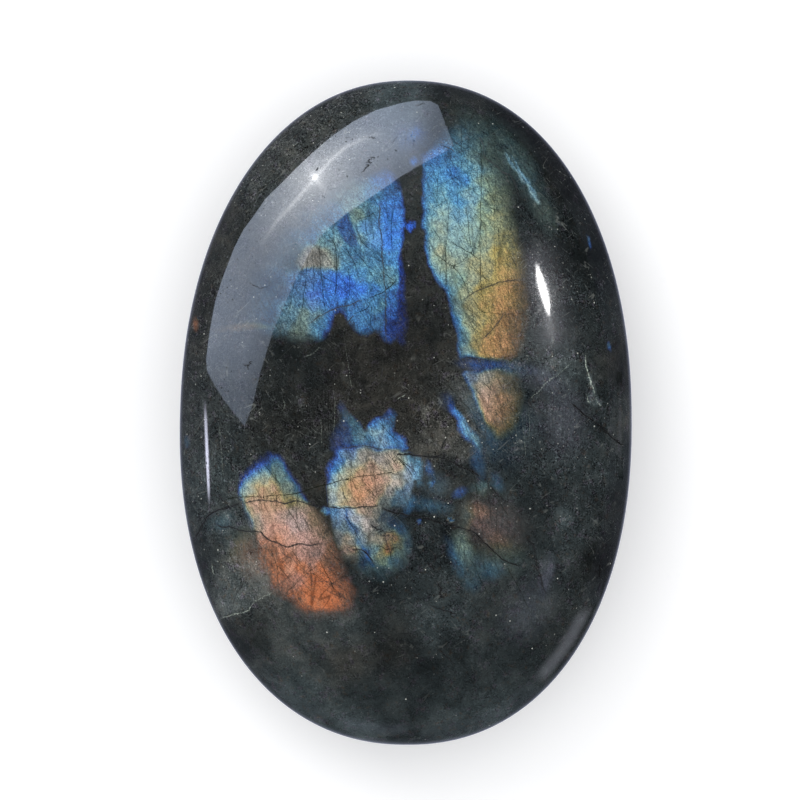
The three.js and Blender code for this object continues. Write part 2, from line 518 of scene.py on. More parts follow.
# %% Paint the left flame
brush(
    rim_order=14,
    outline=[
        (239.5, 486, 6, 2), (241, 479, 8, 6), (248, 470, 9, 11), (256, 463, 9, 12), (263, 457, 9, 12),
        (269, 453, 9, 9), (277, 455, 8, 5), (283, 461, 8, 3), (288, 470, 8, 3), (294, 479, 8, 3),
        (300, 488, 7, 3), (304, 497, 7, 2), (309, 505, 8), (316, 512, 12), (323, 524, 12), (329, 538, 12),
        (334, 552, 14), (340, 566, 16), (347, 580, 16), (352, 592, 14), (350, 602, 12), (342, 608, 10),
        (328, 611, 10), (311, 611, 10), (300, 607, 12), (288, 596, 16), (272, 585, 20), (262, 570, 20),
        (260, 556, 14), (262, 548, 8), (260, 540, 6), (257, 532, 6), (252, 523, 5, 1), (247.5, 514, 5, 1),
        (243.5, 504, 5, 1), (240, 496, 5, 1),
    ],
    dabs=[
        (263, 481, 69, 100, 40), (256, 486, 74, 100, 30), (249, 490, 58, 100, 40), (243, 490, 46, 70, 20),
        (262, 490, 77, 100, 25), (272, 487, 75, 90, 35), (276, 495, 74, 80, 20), (276, 466, 45, 36),
        (282, 478, 48, 36), (288, 488, 52, 40, 20), (296, 488, 42, 26), (250, 502, 75, 95, 35),
        (288, 500, 66, 50, 10), (255, 508, 80, 95, 40), (266, 508, 80, 100, 25), (278, 507, 78, 85, 25),
        (258, 520, 76, 70, 60), (268, 516, 82, 100, 35), (281, 514, 82, 80, 50), (291, 512, 72, 65, 70),
        (274, 528, 87, 100, 30), (285, 530, 86, 100, 35), (293, 524, 80, 70, 70), (278, 541, 88, 100, 15),
        (291, 541, 86, 100, 35), (303, 524, 78, 70, 75), (303, 534, 86, 80, 50), (308, 542, 86, 72, 50),
        (313, 520, 74, 34, 30), (324, 533, 76, 28, 30), (317, 542, 84, 45, 40), (315, 554, 86, 44, 50),
        (332, 550, 86, 30), (329, 561, 88, 20), (268, 552, 90, 40), (287, 556, 91, 95, 10),
        (300, 567, 92, 100), (290, 569, 89, 100, 15), (302, 553, 88, 80, 40), (311, 561, 90, 52, 30),
        (320, 569, 93, 80), (266, 564, 92, 42), (274, 576, 92, 55), (264, 580, 92, 6),
        (284, 584, 92, 52, 10), (280, 566, 93, 70), (296, 580, 92, 60, 25), (311, 578, 95, 80),
        (324, 575, 96, 90), (308, 590, 94, 100), (317, 587, 94, 100), (320, 597, 95, 100),
        (330, 600, 97, 90), (333, 585, 95, 60), (343, 590, 94, 36), (349, 600, 92, 26), (294, 597, 93, 52),
        (312, 603, 95, 90), (335, 570, 92, 26), (343, 575, 92, 22),
    ],
)
haze(250, 556, 24, 34, -20, 92, 11)
haze(324, 608, 40, 16, 0, 92, 12)

# %% [markdown]
# ## The right flame
# Three pieces on one glow, parted only by cracks: a blue cap on top, an orange and lilac body with an
# azure shoulder, and a ragged lower piece with dark blue streaks through it.

# %% Paint the right flame
brush(
    rim_order=24,
    outline=[
        (332, 449, 8), (334, 438, 14), (340, 428, 12), (341, 418, 8), (337, 406, 8), (340, 401, 8),
        (346, 409, 6), (353, 419, 4), (359, 424, 3), (364, 430, 3), (368, 432, 3), (370, 424, 3, 2),
        (374, 418, 4, 3), (380, 415.5, 4, 3), (386, 418, 4), (385, 412, 4), (389, 410, 4), (396, 415, 4),
        (395, 423, 4), (394, 429, 4, 2), (399, 435, 4, 2), (404, 441, 4, 2), (407, 449, 4, 2),
    ],
    dabs=[
        (340, 406, 24, 10), (346, 415, 36, 14), (352, 424, 40, 26), (344, 428, 24, 12),
        (338, 440, 20, 16, 20), (346, 438, 28, 16, 10), (354, 434, 40, 30), (356, 443, 36, 34),
        (362, 436, 42, 38, 10), (368, 441, 36, 36), (374, 422, 32, 60), (380, 426, 38, 65, 10),
        (374, 433, 42, 70, 20), (383, 433, 40, 80, 30), (382, 441, 38, 75, 30), (391, 436, 34, 60),
        (400, 443, 32, 55), (388, 413, 24, 25), (393, 419, 34, 40), (372, 446, 34, 40, 10),
    ],
)
brush(
    rim_order=20,
    outline=[
        (327, 469, 7, 6), (330, 463, 8, 7), (335.5, 457, 8, 6), (336, 449, 7, 5), (342, 447, 6, 3),
        (357.5, 446.5, 4, 3), (374, 446.5, 4, 3), (388, 448, 4, 2), (397, 451, 5), (408, 454, 6),
        (416, 457, 7), (421, 466, 7), (424, 476, 6), (420, 480, 4), (414, 479, 3), (413, 488, 4),
        (409, 497, 6), (403, 507, 8), (384, 508, 4), (357.5, 508, 3), (330, 508, 3), (328, 499, 5),
        (327, 487.5, 5), (326, 477, 6, 5),
    ],
    dabs=[
        (334, 468, 38, 85), (333, 482, 44, 85, 30), (333, 497, 48, 75, 50), (341, 478, 58, 95, 40),
        (341, 495, 64, 90, 45), (341, 460, 38, 70, 10), (350, 454, 36, 55, 40), (350, 468, 64, 85, 35),
        (358, 474, 78, 90, 25), (349, 462, 50, 70, 50), (362, 458, 60, 56, 70), (370, 466, 78, 80, 40),
        (376, 457, 62, 54, 80), (388, 460, 68, 60, 70), (398, 466, 77, 90, 50), (353, 484, 80, 95, 10),
        (347, 490, 72, 95, 25), (358, 494, 84, 100, 5), (368, 484, 84, 90, 15), (378, 482, 82, 80, 30),
        (378, 492, 80, 50, 40), (388, 480, 76, 80, 50), (396, 483, 66, 90, 75), (408, 467, 37, 80, 40),
        (404, 476, 42, 85, 60), (412, 457, 38, 42), (418, 464, 38, 60), (416, 474, 36, 90, 20),
        (421, 474, 40, 60, 10), (398, 475, 60, 70, 60), (408, 488, 38, 50, 40), (401, 497, 38, 30, 20),
        (390, 494, 60, 42, 80), (370, 502, 80, 70, 30), (384, 503, 50, 20, 50), (398, 504, 38, 16, 10),
        (350, 502, 76, 85, 30),
    ],
)
brush(
    rim_order=28,
    outline=[
        (330, 506, 3), (345, 506, 3), (357.5, 506, 3), (378, 506, 3), (385, 509, 8), (394, 513, 10),
        (401, 519, 10), (408, 528, 10), (411, 540, 8), (410, 552, 8), (404, 562, 12), (394, 570, 14),
        (382, 578, 16), (371, 573, 16), (357.5, 566, 16), (346, 558, 12), (338, 547, 8), (333, 532, 6),
        (330.5, 518, 5),
    ],
    dabs=[
        (335, 512, 34, 60, 10), (336, 524, 36, 40, 30), (338, 538, 50, 20, 70), (343, 514, 36, 75, 40),
        (351, 515, 36, 85, 60), (344, 526, 44, 40, 30), (351, 526, 34, 50, 20), (345, 538, 70, 42, 60),
        (345, 549, 76, 42, 50), (352, 542, 60, 42, 70), (352, 550, 80, 42, 40), (352, 559, 60, 14, 60),
        (357, 520, 46, 80, 80), (360, 511, 76, 80, 50), (365, 520, 66, 85, 85), (366, 529, 64, 85, 85),
        (358, 531, 40, 60, 50), (357, 541, 34, 40, 10), (363, 539, 42, 45, 50), (369, 512, 74, 40, 60),
        (376, 513, 60, 26, 60), (375, 524, 62, 36, 70), (371, 538, 60, 40, 60), (383, 530, 46, 14, 40),
        (383, 516, 34, 6, 30), (394, 522, 30, 5), (401, 530, 33, 14), (378, 541, 64, 44, 50),
        (386, 538, 76, 42, 40), (394, 538, 78, 38, 20), (389, 550, 84, 34), (382, 553, 64, 42, 10),
        (398, 546, 60, 22, 10), (400, 552, 50, 22), (374, 550, 46, 42, 10), (366, 550, 38, 28, 20),
        (385, 562, 54, 30), (374, 562, 44, 18, 10), (392, 561, 42, 24), (400, 560, 40, 18),
        (382, 571, 42, 8), (405, 545, 38, 10), (362, 560, 30, 6),
    ],
)
for streak in (
    [(345, 509, 2), (347, 510, 2), (353, 522, 3), (359, 534, 3), (357, 536, 3), (350, 525, 3)],
    [(360, 543, 3), (364, 546, 3), (371, 557, 4), (375, 566, 4), (372, 565, 4), (366, 556, 3)],
):
    brush(outline=streak, dabs=[(*streak[1][:2], 26, 30), (*streak[3][:2], 30, 20)])

# %% [markdown]
# ## Dim and scattered flashes
# Away from the bright fields the same colours come back faintly: small blue chips, brown and lilac
# clouds low on the right, and flecks near the edges.

# %% Paint the dim flashes
for cloud in (
    (492, 525, 48, 40, 25, 80, 11, 75), (480, 511, 17, 12, 20, 84, 28, 20),
    (478, 526, 18, 9, 25, 90, 12, 30), (496, 538, 20, 10, 30, 90, 12, 20),
    (466, 517, 12, 22, 10, 44, 10, 30), (481, 488, 14, 11, 0, 46, 20), (463, 546, 13, 24, -15, 50, 34, 5),
    (472, 566, 26, 26, -30, 44, 10), (455, 558, 9, 30, -24, 34, 16), (472, 584, 14, 14, -30, 38, 8),
    (492, 570, 20, 14, 0, 38, 12), (505, 556, 34, 26, 20, 50, 8), (547, 574, 11, 28, 8, 30, 12, 90),
    (528, 610, 34, 50, 35, 34, 6, 80), (236, 540, 26, 30, 0, 44, 5, 20), (222, 522, 22, 12, -30, 42, 12),
    (253, 520, 10, 18, -25, 36, 18, 50), (245, 327, 44, 5, -3, 74, 12), (412, 136, 26, 22, -8, 26, 10),
    (436, 154, 24, 9, -24, 27, 26), (416, 133, 10, 10, 0, 26, 18), (414, 161, 6, 6, 0, 26, 60),
    (428, 505, 34, 10, 10, 38, 16), (436, 486, 22, 16, 10, 40, 12, 20), (409, 506, 8, 14, 30, 34, 22),
    (461, 494, 12, 7, -20, 24, 26), (430, 470, 6, 14, -24, 28, 26), (420, 484, 6, 6, 0, 38, 20),
):
    haze(*cloud)
for chip in (
    [(321, 507), (326, 506), (331, 509), (329, 514), (324, 515), (320, 511)],
    [(418, 521, 2), (421, 520, 2), (422, 523, 2), (419, 524, 2)],
    [(427, 465, 3), (429, 466, 2), (432, 473, 2), (431, 475, 3), (428, 470, 2)],
    [(427, 483, 3), (433, 480, 2), (434, 483, 2), (429, 487, 2)],
    [(448, 516, 2), (451, 516, 2), (455, 521, 2), (452, 522, 2), (448, 519, 2)],
    [(587, 238, 2), (589, 238, 2), (590.5, 244, 2), (590, 247, 2), (588, 243, 2)],
    [(607.5, 341, 2), (608.5, 342, 2), (610.5, 349, 2), (609.5, 350, 2), (608.5, 347, 2)],
):
    brush(outline=chip, dabs=[(*chip[0][:2], 38, 36, 10), (*chip[2][:2], 27, 36)])
haze(195, 325, 5, 10, 0, 90, 30)
haze(187, 443, 4, 8, 0, 36, 14)
print("share of the front that flashes:", round(float((flash[faces_front, 1] > 0.3).mean()), 3))

# %% [markdown]
# ## The dark rock between the flashes
# Away from the flashes the stone is nearly black, but never evenly so: smoky olive in the middle,
# blue-green at the foot, grey clouds here and there. Dabs say how light, how warm and how gritty it is,
# in hundredths, and everything between is blended. The dabs along the top, right and foot of the
# outline are lighter: partly the rock's own grey, partly painted reflection of pale surroundings in the
# steep polished edge.

# %% Paint the dark rock
ROCK_REACH = 300  # square pixels; wide, so that one shade of rock runs softly into the next
# the dabs at the outline's top, right side and foot hold painted reflection as well as the rock's own grey
rock = blend_dabs(ragged, reach=ROCK_REACH, dabs=[
    (200, 300, 42, 50, 90), (225, 235, 44, 50, 50), (262, 180, 52, 40, 100), (300, 140, 52, 45, 120),
    (350, 108, 50, 40, 120), (400, 90, 60, -20, 50), (450, 92, 37, 30, 40), (520, 125, 27, 20, 50),
    (570, 180, 26, 30, 70), (600, 250, 28, 20, 50), (575, 250, 26, 10, 50), (560, 240, 36, 10, 130),
    (525, 290, 40, 20, 130), (535, 220, 42, 10, 70), (412, 190, 45, 30, 30), (425, 300, 40, 50, 40),
    (415, 340, 33, 50, 30), (300, 365, 35, 30, 40), (350, 375, 37, 70, 40), (400, 360, 40, 80, 40),
    (422, 378, 31, 50, 50), (260, 430, 37, 50, 100), (300, 420, 32, 50, 90), (400, 400, 40, 80, 50),
    (430, 390, 46, 90, 80), (450, 440, 60, 70, 70), (445, 395, 56, 40, 80), (460, 480, 42, 30, 60),
    (440, 415, 48, 80, 100), (560, 370, 65, 20, 100), (530, 350, 56, 30, 80), (535, 395, 42, 20, 80),
    (515, 455, 38, 10, 80), (590, 330, 42, 20, 60), (590, 400, 40, 20, 60), (560, 290, 42, 20, 140),
    (590, 430, 40, -10, 80), (565, 455, 50, 10, 110), (600, 485, 48, 10, 90), (535, 425, 42, -10, 90),
    (560, 400, 52, 0, 80), (505, 472, 48, 0, 50), (545, 500, 40, 10, 60), (600, 560, 26, 40, 60),
    (530, 530, 38, 10, 40), (580, 600, 42, 20, 50), (575, 535, 48, 10, 70), (555, 557, 50, 10, 50),
    (560, 640, 40, 20, 30), (530, 600, 50, 30, 30), (500, 620, 46, 25, 30), (440, 545, 36, 0, 80),
    (440, 620, 52, 0, 60), (420, 580, 46, 10, 60), (380, 620, 42, 30, 30), (348, 628, 60, 30, 30),
    (385, 582, 34, 0, 50), (310, 500, 38, 60, 50), (322, 478, 42, 60, 60), (315, 455, 47, 40, 70),
    (215, 470, 56, 10, 100), (212, 502, 52, 20, 80), (195, 430, 46, 30, 80), (222, 440, 47, 30, 100),
    (245, 455, 45, 30, 100), (200, 560, 42, 20, 40), (240, 560, 66, 60, 80), (250, 590, 60, 50, 50),
    (232, 600, 58, 30, 60), (240, 640, 45, 30, 20), (300, 640, 58, 35, 20), (350, 660, 46, 60, 30),
    (392, 650, 31, 40, 30), (420, 680, 34, -10, 20), (480, 680, 42, 10, 30), (522, 674, 43, 10, 20),
    (495, 708, 60, 0, 30), (300, 700, 58, 0, 20), (360, 728, 64, 0, 30), (375, 700, 40, 0, 20),
    (400, 715, 46, 10, 20), (450, 730, 55, 0, 20), (520, 700, 55, 0, 20), (620, 500, 32, 30, 30),
    (620, 360, 36, 50, 30), (622, 430, 50, 40, 30),
])


def lift(amount, outline):
    """Makes the rock lighter inside an outline, or darker if the amount is negative."""
    depth, fade, _ = depth_inside(ragged, outline)
    rock[:, 0] += amount * smooth(depth / fade + 0.5) * faces_front


lift(0.14, [
    (228, 562, 12), (250, 556, 14), (268, 572, 12), (272, 590, 5), (268, 595, 3), (256, 600, 3),
    (249, 608, 3), (242, 613, 3), (229, 615, 3), (222, 617, 3), (216, 600, 8), (220, 575, 10),
])
lift(-0.08, [
    (222, 617, 3), (230, 615, 3), (243, 613, 3), (250, 609, 3), (257, 604, 4), (270, 620, 14),
    (262, 650, 24), (240, 655, 24), (222, 630, 12),
])
lift(0.3, [
    (585, 375, 3), (590, 376, 3), (593, 385, 3), (595, 396, 3), (601, 404, 4), (602, 411, 5), (594, 408, 5),
    (587, 403, 4), (586, 395, 4), (591, 392, 4), (587, 384, 3),
])
lift(0.16, [(298, 394, 4), (302, 397, 3), (305, 405, 5), (303, 413, 6), (300, 408, 3), (296, 402, 4)])
lift(0.22, [(410, 358, 3), (414, 356, 3), (416, 360, 4), (413, 362, 3)])
lift(0.22, [(421, 404, 8), (429, 406, 7), (431, 416, 9), (426, 424, 9), (420, 416, 8)])
lift(0.14, [(340, 368, 5), (346, 369, 5), (352, 380, 5), (354, 392, 5), (349, 389, 5), (343, 378, 5)])
lift(-0.1, [(438, 628, 8), (462, 630, 8), (472, 640, 8), (465, 665, 8), (440, 650, 8)])
lift(0.2, [(556, 510, 10), (566, 506, 10), (572, 518, 10), (566, 530, 10), (558, 526, 10)])
print("rock lightness from", rock[:, 0].min().round(2), "to", rock[:, 0].max().round(2))

# %% [markdown]
# ## Cracks
# Healed cracks cross the stone as hair-thin dark lines. A line thinner than the mesh's own spacing
# can't be painted on its points, so each point stores how far it lies to one side or the other of the
# nearest crack, and the material draws the line where that distance passes through nothing. The distance
# is kept as an angle's cosine and sine, so that two neighbouring cracks don't cancel out between them.
# A crack is a strength and a route. A strength above 1 also makes the line wider.

# %% A pen for cracks
CRACK_REACH = 7.0  # pixels on either side of a crack over which its distance is kept
CRACK_TAPER = 9.0  # pixels over which a crack grows weaker towards its ends


def draw_cracks(cracks, raggedness, front=True):
    """Cosine and sine of the distance to the nearest crack, and that crack's strength, for each point."""
    points = pixels + (ragged - pixels) * raggedness
    lines = np.zeros((count, 3))
    lines[:, 0] = -1
    nearest = np.full(count, CRACK_REACH)
    for strength, *route in cracks:
        route = np.array(route, float)
        lengths = np.hypot(*np.diff(route, axis=0).T)
        whole, before = lengths.sum(), 0.0
        low, high = route.min(axis=0) - CRACK_REACH, route.max(axis=0) + CRACK_REACH
        near = np.flatnonzero(np.all((points > low) & (points < high), axis=1) & (faces_front == front))
        px, py = points[near].T
        for (ax, ay), (bx, by), length in zip(route[:-1], route[1:], lengths):
            dx, dy = (bx - ax) / length, (by - ay) / length
            t = np.clip((px - ax) * dx + (py - ay) * dy, 0, length)
            away_x, away_y = px - ax - t * dx, py - ay - t * dy
            distance = np.hypot(away_x, away_y)
            side = np.where(dx * away_y - dy * away_x < 0, -1.0, 1.0)
            end = np.minimum(before + t, whole - before - t)
            closer = distance < nearest[near]
            found = near[closer]
            nearest[found] = distance[closer]
            angle = side[closer] * distance[closer] / CRACK_REACH * math.pi
            lines[found, 0] = np.cos(angle)
            lines[found, 1] = np.sin(angle)
            lines[found, 2] = strength * smooth(end[closer] / min(CRACK_TAPER, whole / 3))
            before += length
    return lines


# %% [markdown]
# The long cracks run roughly level through both flames and carry on into the dark rock on each side.
# A strength below nothing makes a pale line, such as the bright lip of a healed chip.

# %% Draw the long cracks
cracks = draw_cracks(raggedness=0.6, cracks=[
    (1.6, (193, 540), (200, 528), (207, 519), (216, 511), (229, 507), (243, 504)),
    (1, (229, 507), (243, 504), (263, 500), (284, 503), (295, 500), (313, 505), (331, 506.5), (340, 508),
     (358, 506.5), (378, 506), (389, 504)),
    (1, (378, 506), (393, 512), (409, 515), (430, 519), (450, 525), (470, 530), (486, 544), (504, 561),
     (525, 567)),
    (0.8, (334, 450), (342, 448), (358, 447), (373, 447), (387, 449), (397, 454)),
    (1.3, (387, 449), (397, 454), (409, 454), (420, 456), (431, 457), (440, 458), (447, 461), (458, 465),
     (469, 470), (483, 478)),
    (0.9, (469, 470), (483, 478), (495, 492), (510, 505)),
    (1, (210, 522), (219, 526), (230, 527), (240, 531), (261, 531), (268, 538), (277, 543), (286, 547),
     (301, 543.5), (312, 545), (326, 542)),
    (0.7, (278, 549), (292, 560), (306, 572), (316, 584)),
    (0.6, (300, 590), (315, 582), (330, 582), (345, 590)),
    (0.7, (519, 397), (538, 409), (552, 420)),
    (1.1, (566, 401), (573, 405), (581, 412), (591, 420), (600, 426), (609, 434), (618, 441), (627, 448)),
    (-0.35, (574, 361), (566, 368), (556, 376), (543, 386), (535, 394), (527, 402)),
    (1, (536, 386), (541, 391), (540, 396)),
    (1.3, (390, 396), (396, 397), (401, 400), (405, 398), (410, 402)),
    (-0.7, (396, 400), (400, 397), (406, 394)),
    (1, (383, 366), (382, 372), (381, 380)),
    (1.1, (436, 372), (437, 378), (434, 382)),
    (1.2, (447, 436), (444, 442), (441, 449), (443, 456)),
    (0.8, (425, 386), (424, 393)),
    (-0.22, (301, 358), (307, 356), (315, 352), (323, 345)),
    (-0.25, (283, 398), (284, 404), (281, 411)),
    (0.8, (524, 534), (534, 545), (538, 571), (543, 585), (547, 597)),
    (0.7, (488, 476), (489, 500), (491, 530)),
    (0.9, (425, 604), (440, 608), (461, 617)),
    (0.8, (434, 643), (444, 655), (456, 668)),
    (1.5, (436, 577), (441, 588), (440, 594), (447, 601)),
    (1.4, (441, 450), (445, 456), (443, 463)),
    (1.4, (449, 470), (455, 477), (453, 483)),
    (1.5, (430, 548), (436, 556), (433, 564)),
    (1.2, (425, 560), (432, 566), (436, 572)),
    (1.2, (593, 562), (600, 566), (598, 575), (604, 582)),
    (1.2, (222, 433), (224, 441), (221, 446)),
    (1.2, (231, 438), (235, 445), (233, 450)),
    (1.2, (217, 492), (221, 499), (227, 503)),
    (0.7, (371, 533), (379, 535), (385, 539), (392, 536), (400, 540)),
    (0.8, (380, 522), (384, 531), (386, 543), (391, 552), (393, 561)),
    (0.8, (477, 133), (484, 144), (485, 159), (494, 166), (510, 174.5), (517, 191), (521, 200)),
    (0.9, (461, 302), (470, 296), (482, 289), (494, 284), (509, 281), (531, 278)),
    (0.9, (478, 342), (490, 331), (503, 318), (507, 311)),
    (0.3, (311, 232), (326, 219), (339, 201), (349, 189), (360, 181)),
    (0.85, (359, 176), (363, 171), (368, 166), (373, 162), (377, 158)),
    (0.85, (363, 161), (367, 163), (370, 160), (375, 160)),
    (0.8, (370, 156), (373, 158), (377, 156), (380, 154)),
    (0.6, (389, 146), (394, 141), (400, 134)),
    (0.65, (366, 136.5), (371, 136.5), (375, 138), (380, 138)),
    (0.7, (344, 138), (348, 137), (352, 137)),
    (0.8, (415, 107), (420, 105), (424, 103.5), (427, 106)),
    (0.9, (439, 143), (445, 147), (451, 150), (456, 155)),
    (0.9, (315, 171), (318, 169), (319, 165)),
    (0.8, (245, 284), (249, 282), (254, 286), (262, 288), (268, 286), (274, 283)),
    (0.9, (242, 362), (246, 366), (250, 363), (247, 369), (252, 371)),
    (1, (346, 328), (350, 321), (357, 312)),
    (1.1, (366, 522), (374, 527), (380, 531), (389, 533), (399, 531)),
    (0.9, (391, 541), (394, 547), (393, 555)),
    (1, (346, 546), (353, 550), (361, 549), (370, 556), (377, 565)),
    (-0.6, (218, 619), (229, 615.5), (242, 613.5), (249, 609), (256, 601), (268, 595), (275, 590)),
    (-0.6, (211.5, 562), (213, 569), (216, 577)),
    (0.7, (247, 577), (241, 586), (235, 596), (231, 610)),
    (-1, (585, 352), (585.5, 360), (587, 368), (588, 376), (591, 384), (593, 391), (595, 397)),
    (-0.9, (587, 377), (590, 382), (588, 386)),
    (-0.8, (586, 394), (587, 400), (590, 405)),
    (-0.6, (595, 398), (597, 404), (601, 409)),
    (0.5, (598, 565), (606, 572), (601, 596)),
    (0.9, (379, 200), (380, 210), (380.5, 233), (382, 265), (386, 297), (386.5, 345)),
    (0.9, (307, 325), (313, 321), (324, 313), (335, 307), (349, 304), (366, 299)),
    (0.4, (570, 470), (590, 500), (603, 520)),
    (0.7, (305, 636), (312, 644), (330, 648)),
])
print("long cracks touch", int((cracks[:, 2] != 0).sum()), "points")

# %% [markdown]
# Inside the flashes a net of finer lines shows, mostly upright or running down to the right, along the
# directions in which feldspar splits. They are kept apart in two more attributes, one for each
# direction, because one point can only know one nearest line and the two directions cross.

# %% Draw the upright hairlines
upright = draw_cracks(raggedness=0.3, cracks=[
    (0.8, (222, 499), (243, 497), (262, 497), (275, 495), (287, 495), (301, 492), (312, 488), (327, 485),
     (336, 482), (345, 480), (355, 477), (378, 475), (391, 472), (402, 476)),
    (0.6, (319, 244), (321, 272), (324, 300), (326, 313)),
    (0.6, (308, 256), (305, 288), (301, 316)),
    (0.7, (327, 232), (336, 246), (337, 265), (336, 284), (333, 300)),
    (0.5, (295, 268), (293, 290), (288, 318)),
    (0.5, (312, 245), (314, 270), (313, 300)),
    (0.5, (347, 262), (350, 280), (349, 304)),
    (0.6, (372, 300), (371, 315), (370, 330)),
    (0.5, (392, 200), (391, 230), (393, 262)),
    (0.5, (370, 205), (366, 222), (368, 240)),
    (0.6, (481, 138), (481.5, 165), (481, 200), (480, 240), (481, 275), (482, 300)),
    (0.5, (450, 199), (448, 225), (446, 250), (446, 290)),
    (0.6, (467, 204), (468, 225), (471, 250)),
    (0.4, (456, 165), (458, 190), (459, 212)),
    (0.4, (440, 160), (438, 185), (437, 205)),
    (0.4, (495, 190), (494, 230), (496, 275)),
    (0.5, (472, 303), (473, 325)),
    (0.4, (479, 340), (478, 355)),
    (0.5, (508, 345), (507, 355)),
    (0.4, (493, 295), (490, 330), (492, 352)),
    (0.5, (274, 461), (276, 480), (276, 500), (276, 515)),
    (0.4, (265, 470), (263, 490), (266, 512)),
    (0.5, (330, 459), (342, 462), (344, 480)),
    (0.5, (352, 455), (350, 478), (353, 500)),
    (0.4, (375, 455), (374, 480), (377, 500)),
    (0.6, (345, 546), (355, 546), (366, 566)),
    (0.5, (325, 560), (305, 574), (285, 594)),
    (0.5, (277, 565), (285, 574), (293, 583)),
    (0.6, (321, 563), (329, 578), (336, 595)),
    (0.6, (370, 549), (379, 546), (386, 550), (397, 548), (405, 551)),
    (0.8, (395, 455), (402, 462), (409, 470), (413, 480)),
    (0.7, (384, 450), (394, 460), (400, 470)),
    (0.6, (606, 560), (602, 590), (600, 604)),
    (-0.25, (344.5, 341), (347, 360), (350, 376), (353, 392)),
    (-0.25, (334, 386), (334.5, 410), (334, 440)),
    (-0.25, (321, 415), (321.5, 450)),
    (-0.3, (516, 425), (517.5, 452)),
    (-0.3, (522, 412), (524, 436), (526, 460)),
    (-0.2, (529, 405), (530, 440)),
    (0.5, (475, 478), (477, 500), (480, 525)),
    (0.4, (497, 500), (496, 530), (500, 560)),
    (-0.25, (220, 420), (221, 450), (223, 480)),
])

# %% [markdown]
# The second direction runs down to the right, and bridges between the upright lines.

# %% Draw the slanting hairlines
slanting = draw_cracks(raggedness=0.3, cracks=[
    (0.5, (315, 272), (336, 284), (348, 293), (358, 304)),
    (0.5, (340, 277), (352, 290), (362, 303)),
    (0.6, (344, 247), (354, 262), (361, 277)),
    (0.5, (349, 244), (364, 262), (380, 288)),
    (0.8, (364, 300), (382, 293), (393, 283), (399, 280)),
    (0.6, (348, 314), (357, 313), (368, 308), (372, 297)),
    (0.6, (379, 270), (388, 276), (397, 283)),
    (0.5, (350, 219), (358, 219), (370, 216), (379, 210)),
    (0.6, (357, 219), (356, 228), (362, 242), (374, 252)),
    (0.4, (394, 222), (402, 221), (408, 219)),
    (0.5, (430, 210), (440, 204), (451, 198)),
    (0.4, (430, 190), (450, 180), (481, 165)),
    (0.5, (450, 196), (465, 191), (482, 186)),
    (0.7, (448, 239), (458, 246), (471, 253), (482, 262)),
    (0.8, (472, 245), (479, 250)),
    (0.6, (446, 259), (452, 266), (459, 273), (467, 288)),
    (0.5, (466, 263), (480, 274), (492, 283)),
    (0.6, (430, 226), (438, 236), (441, 243)),
    (0.5, (470, 222), (476, 214), (482, 222), (487, 228)),
    (0.6, (487, 205), (498, 211)),
    (0.6, (432, 252), (446, 262), (452, 270)),
    (0.5, (505, 262), (511, 268)),
    (0.5, (462, 302), (470, 311), (484, 320)),
    (0.5, (473, 303), (482, 312), (494, 313), (512, 316)),
    (0.5, (455, 318), (470, 326), (486, 336)),
    (0.5, (443, 270), (462, 262), (478, 244)),
    (0.6, (480, 380), (487, 386), (493, 392)),
    (0.6, (262, 462), (272, 474), (284, 488)),
    (0.5, (285, 505), (295, 520), (302, 535)),
    (0.5, (296, 505), (308, 525), (314, 540)),
    (0.6, (341, 482), (344, 495), (350, 508)),
    (0.5, (359, 478), (368, 487), (377, 500)),
    (0.5, (383, 456), (392, 467), (397, 474)),
    (0.7, (392, 452), (405, 463), (414, 470), (420, 480)),
    (0.6, (344, 510), (352, 526), (360, 543)),
    (0.5, (361, 541), (369, 536), (376, 528), (384, 522)),
    (0.6, (390, 549), (392, 563)),
    (0.5, (395, 512), (405, 524), (410, 535)),
    (0.5, (320, 545), (330, 552), (345, 565)),
    (0.5, (300, 572), (315, 574), (325, 584)),
    (0.6, (290, 547), (297, 558), (303, 568)),
    (0.5, (268, 545), (275, 560), (280, 578)),
    (0.4, (455, 470), (475, 500), (492, 520)),
    (0.4, (488, 486), (498, 500), (512, 520)),
    (0.4, (444, 380), (470, 410), (482, 440)),
    (0.4, (318, 340), (310, 349), (302, 357)),
    (0.4, (468, 555), (478, 575), (490, 598)),
    (0.4, (505, 562), (520, 590), (530, 610)),
    (0.5, (378, 420), (390, 434), (404, 446)),
    (0.4, (350, 420), (362, 434), (374, 446)),
])
print("hairlines touch", int(((upright[:, 2] != 0) | (slanting[:, 2] != 0)).sum()), "points")

# %% [markdown]
# ## The back
# The picture doesn't show the back, so its marks are made up in the same manner but quieter, as a
# stone's maker puts the best face to the front: one dim blue sweep, a small gold patch and a few cracks
# that carry on from those of the front.

# %% Paint the back
brush(
    front=False,
    outline=[
        (292, 236, 30), (318, 214, 24), (348, 204, 20), (372, 196, 14, 4), (398, 203, 8, 5),
        (420, 219, 6, 5), (441, 230, 6, 6), (452, 252, 6, 6), (471, 271, 6, 5), (478, 300, 8, 6),
        (492, 322, 8, 5), (494, 352, 12, 4), (508, 383, 16), (487, 408, 30), (458, 392, 36), (430, 344, 40),
        (392, 318, 44), (346, 306, 44), (306, 282, 40),
    ],
    dabs=[
        (350, 240, 26, 35), (420, 270, 32, 50, 5), (460, 330, 42, 45, 10), (480, 380, 50, 30),
        (380, 280, 24, 30),
    ],
)
brush(
    front=False,
    outline=[
        (346, 512, 12, 3), (356, 492, 8, 4), (372, 485, 6, 5), (384, 471, 6, 6), (398, 470, 6, 6),
        (411, 482, 6, 5), (423, 488, 8, 4), (427, 508, 12, 3), (441, 530, 20), (430, 556, 30),
        (408, 588, 40), (376, 590, 40), (356, 560, 34), (354, 532, 22),
    ],
    dabs=[(385, 500, 60, 40, 10), (400, 530, 72, 50, 10), (390, 560, 80, 35)],
)
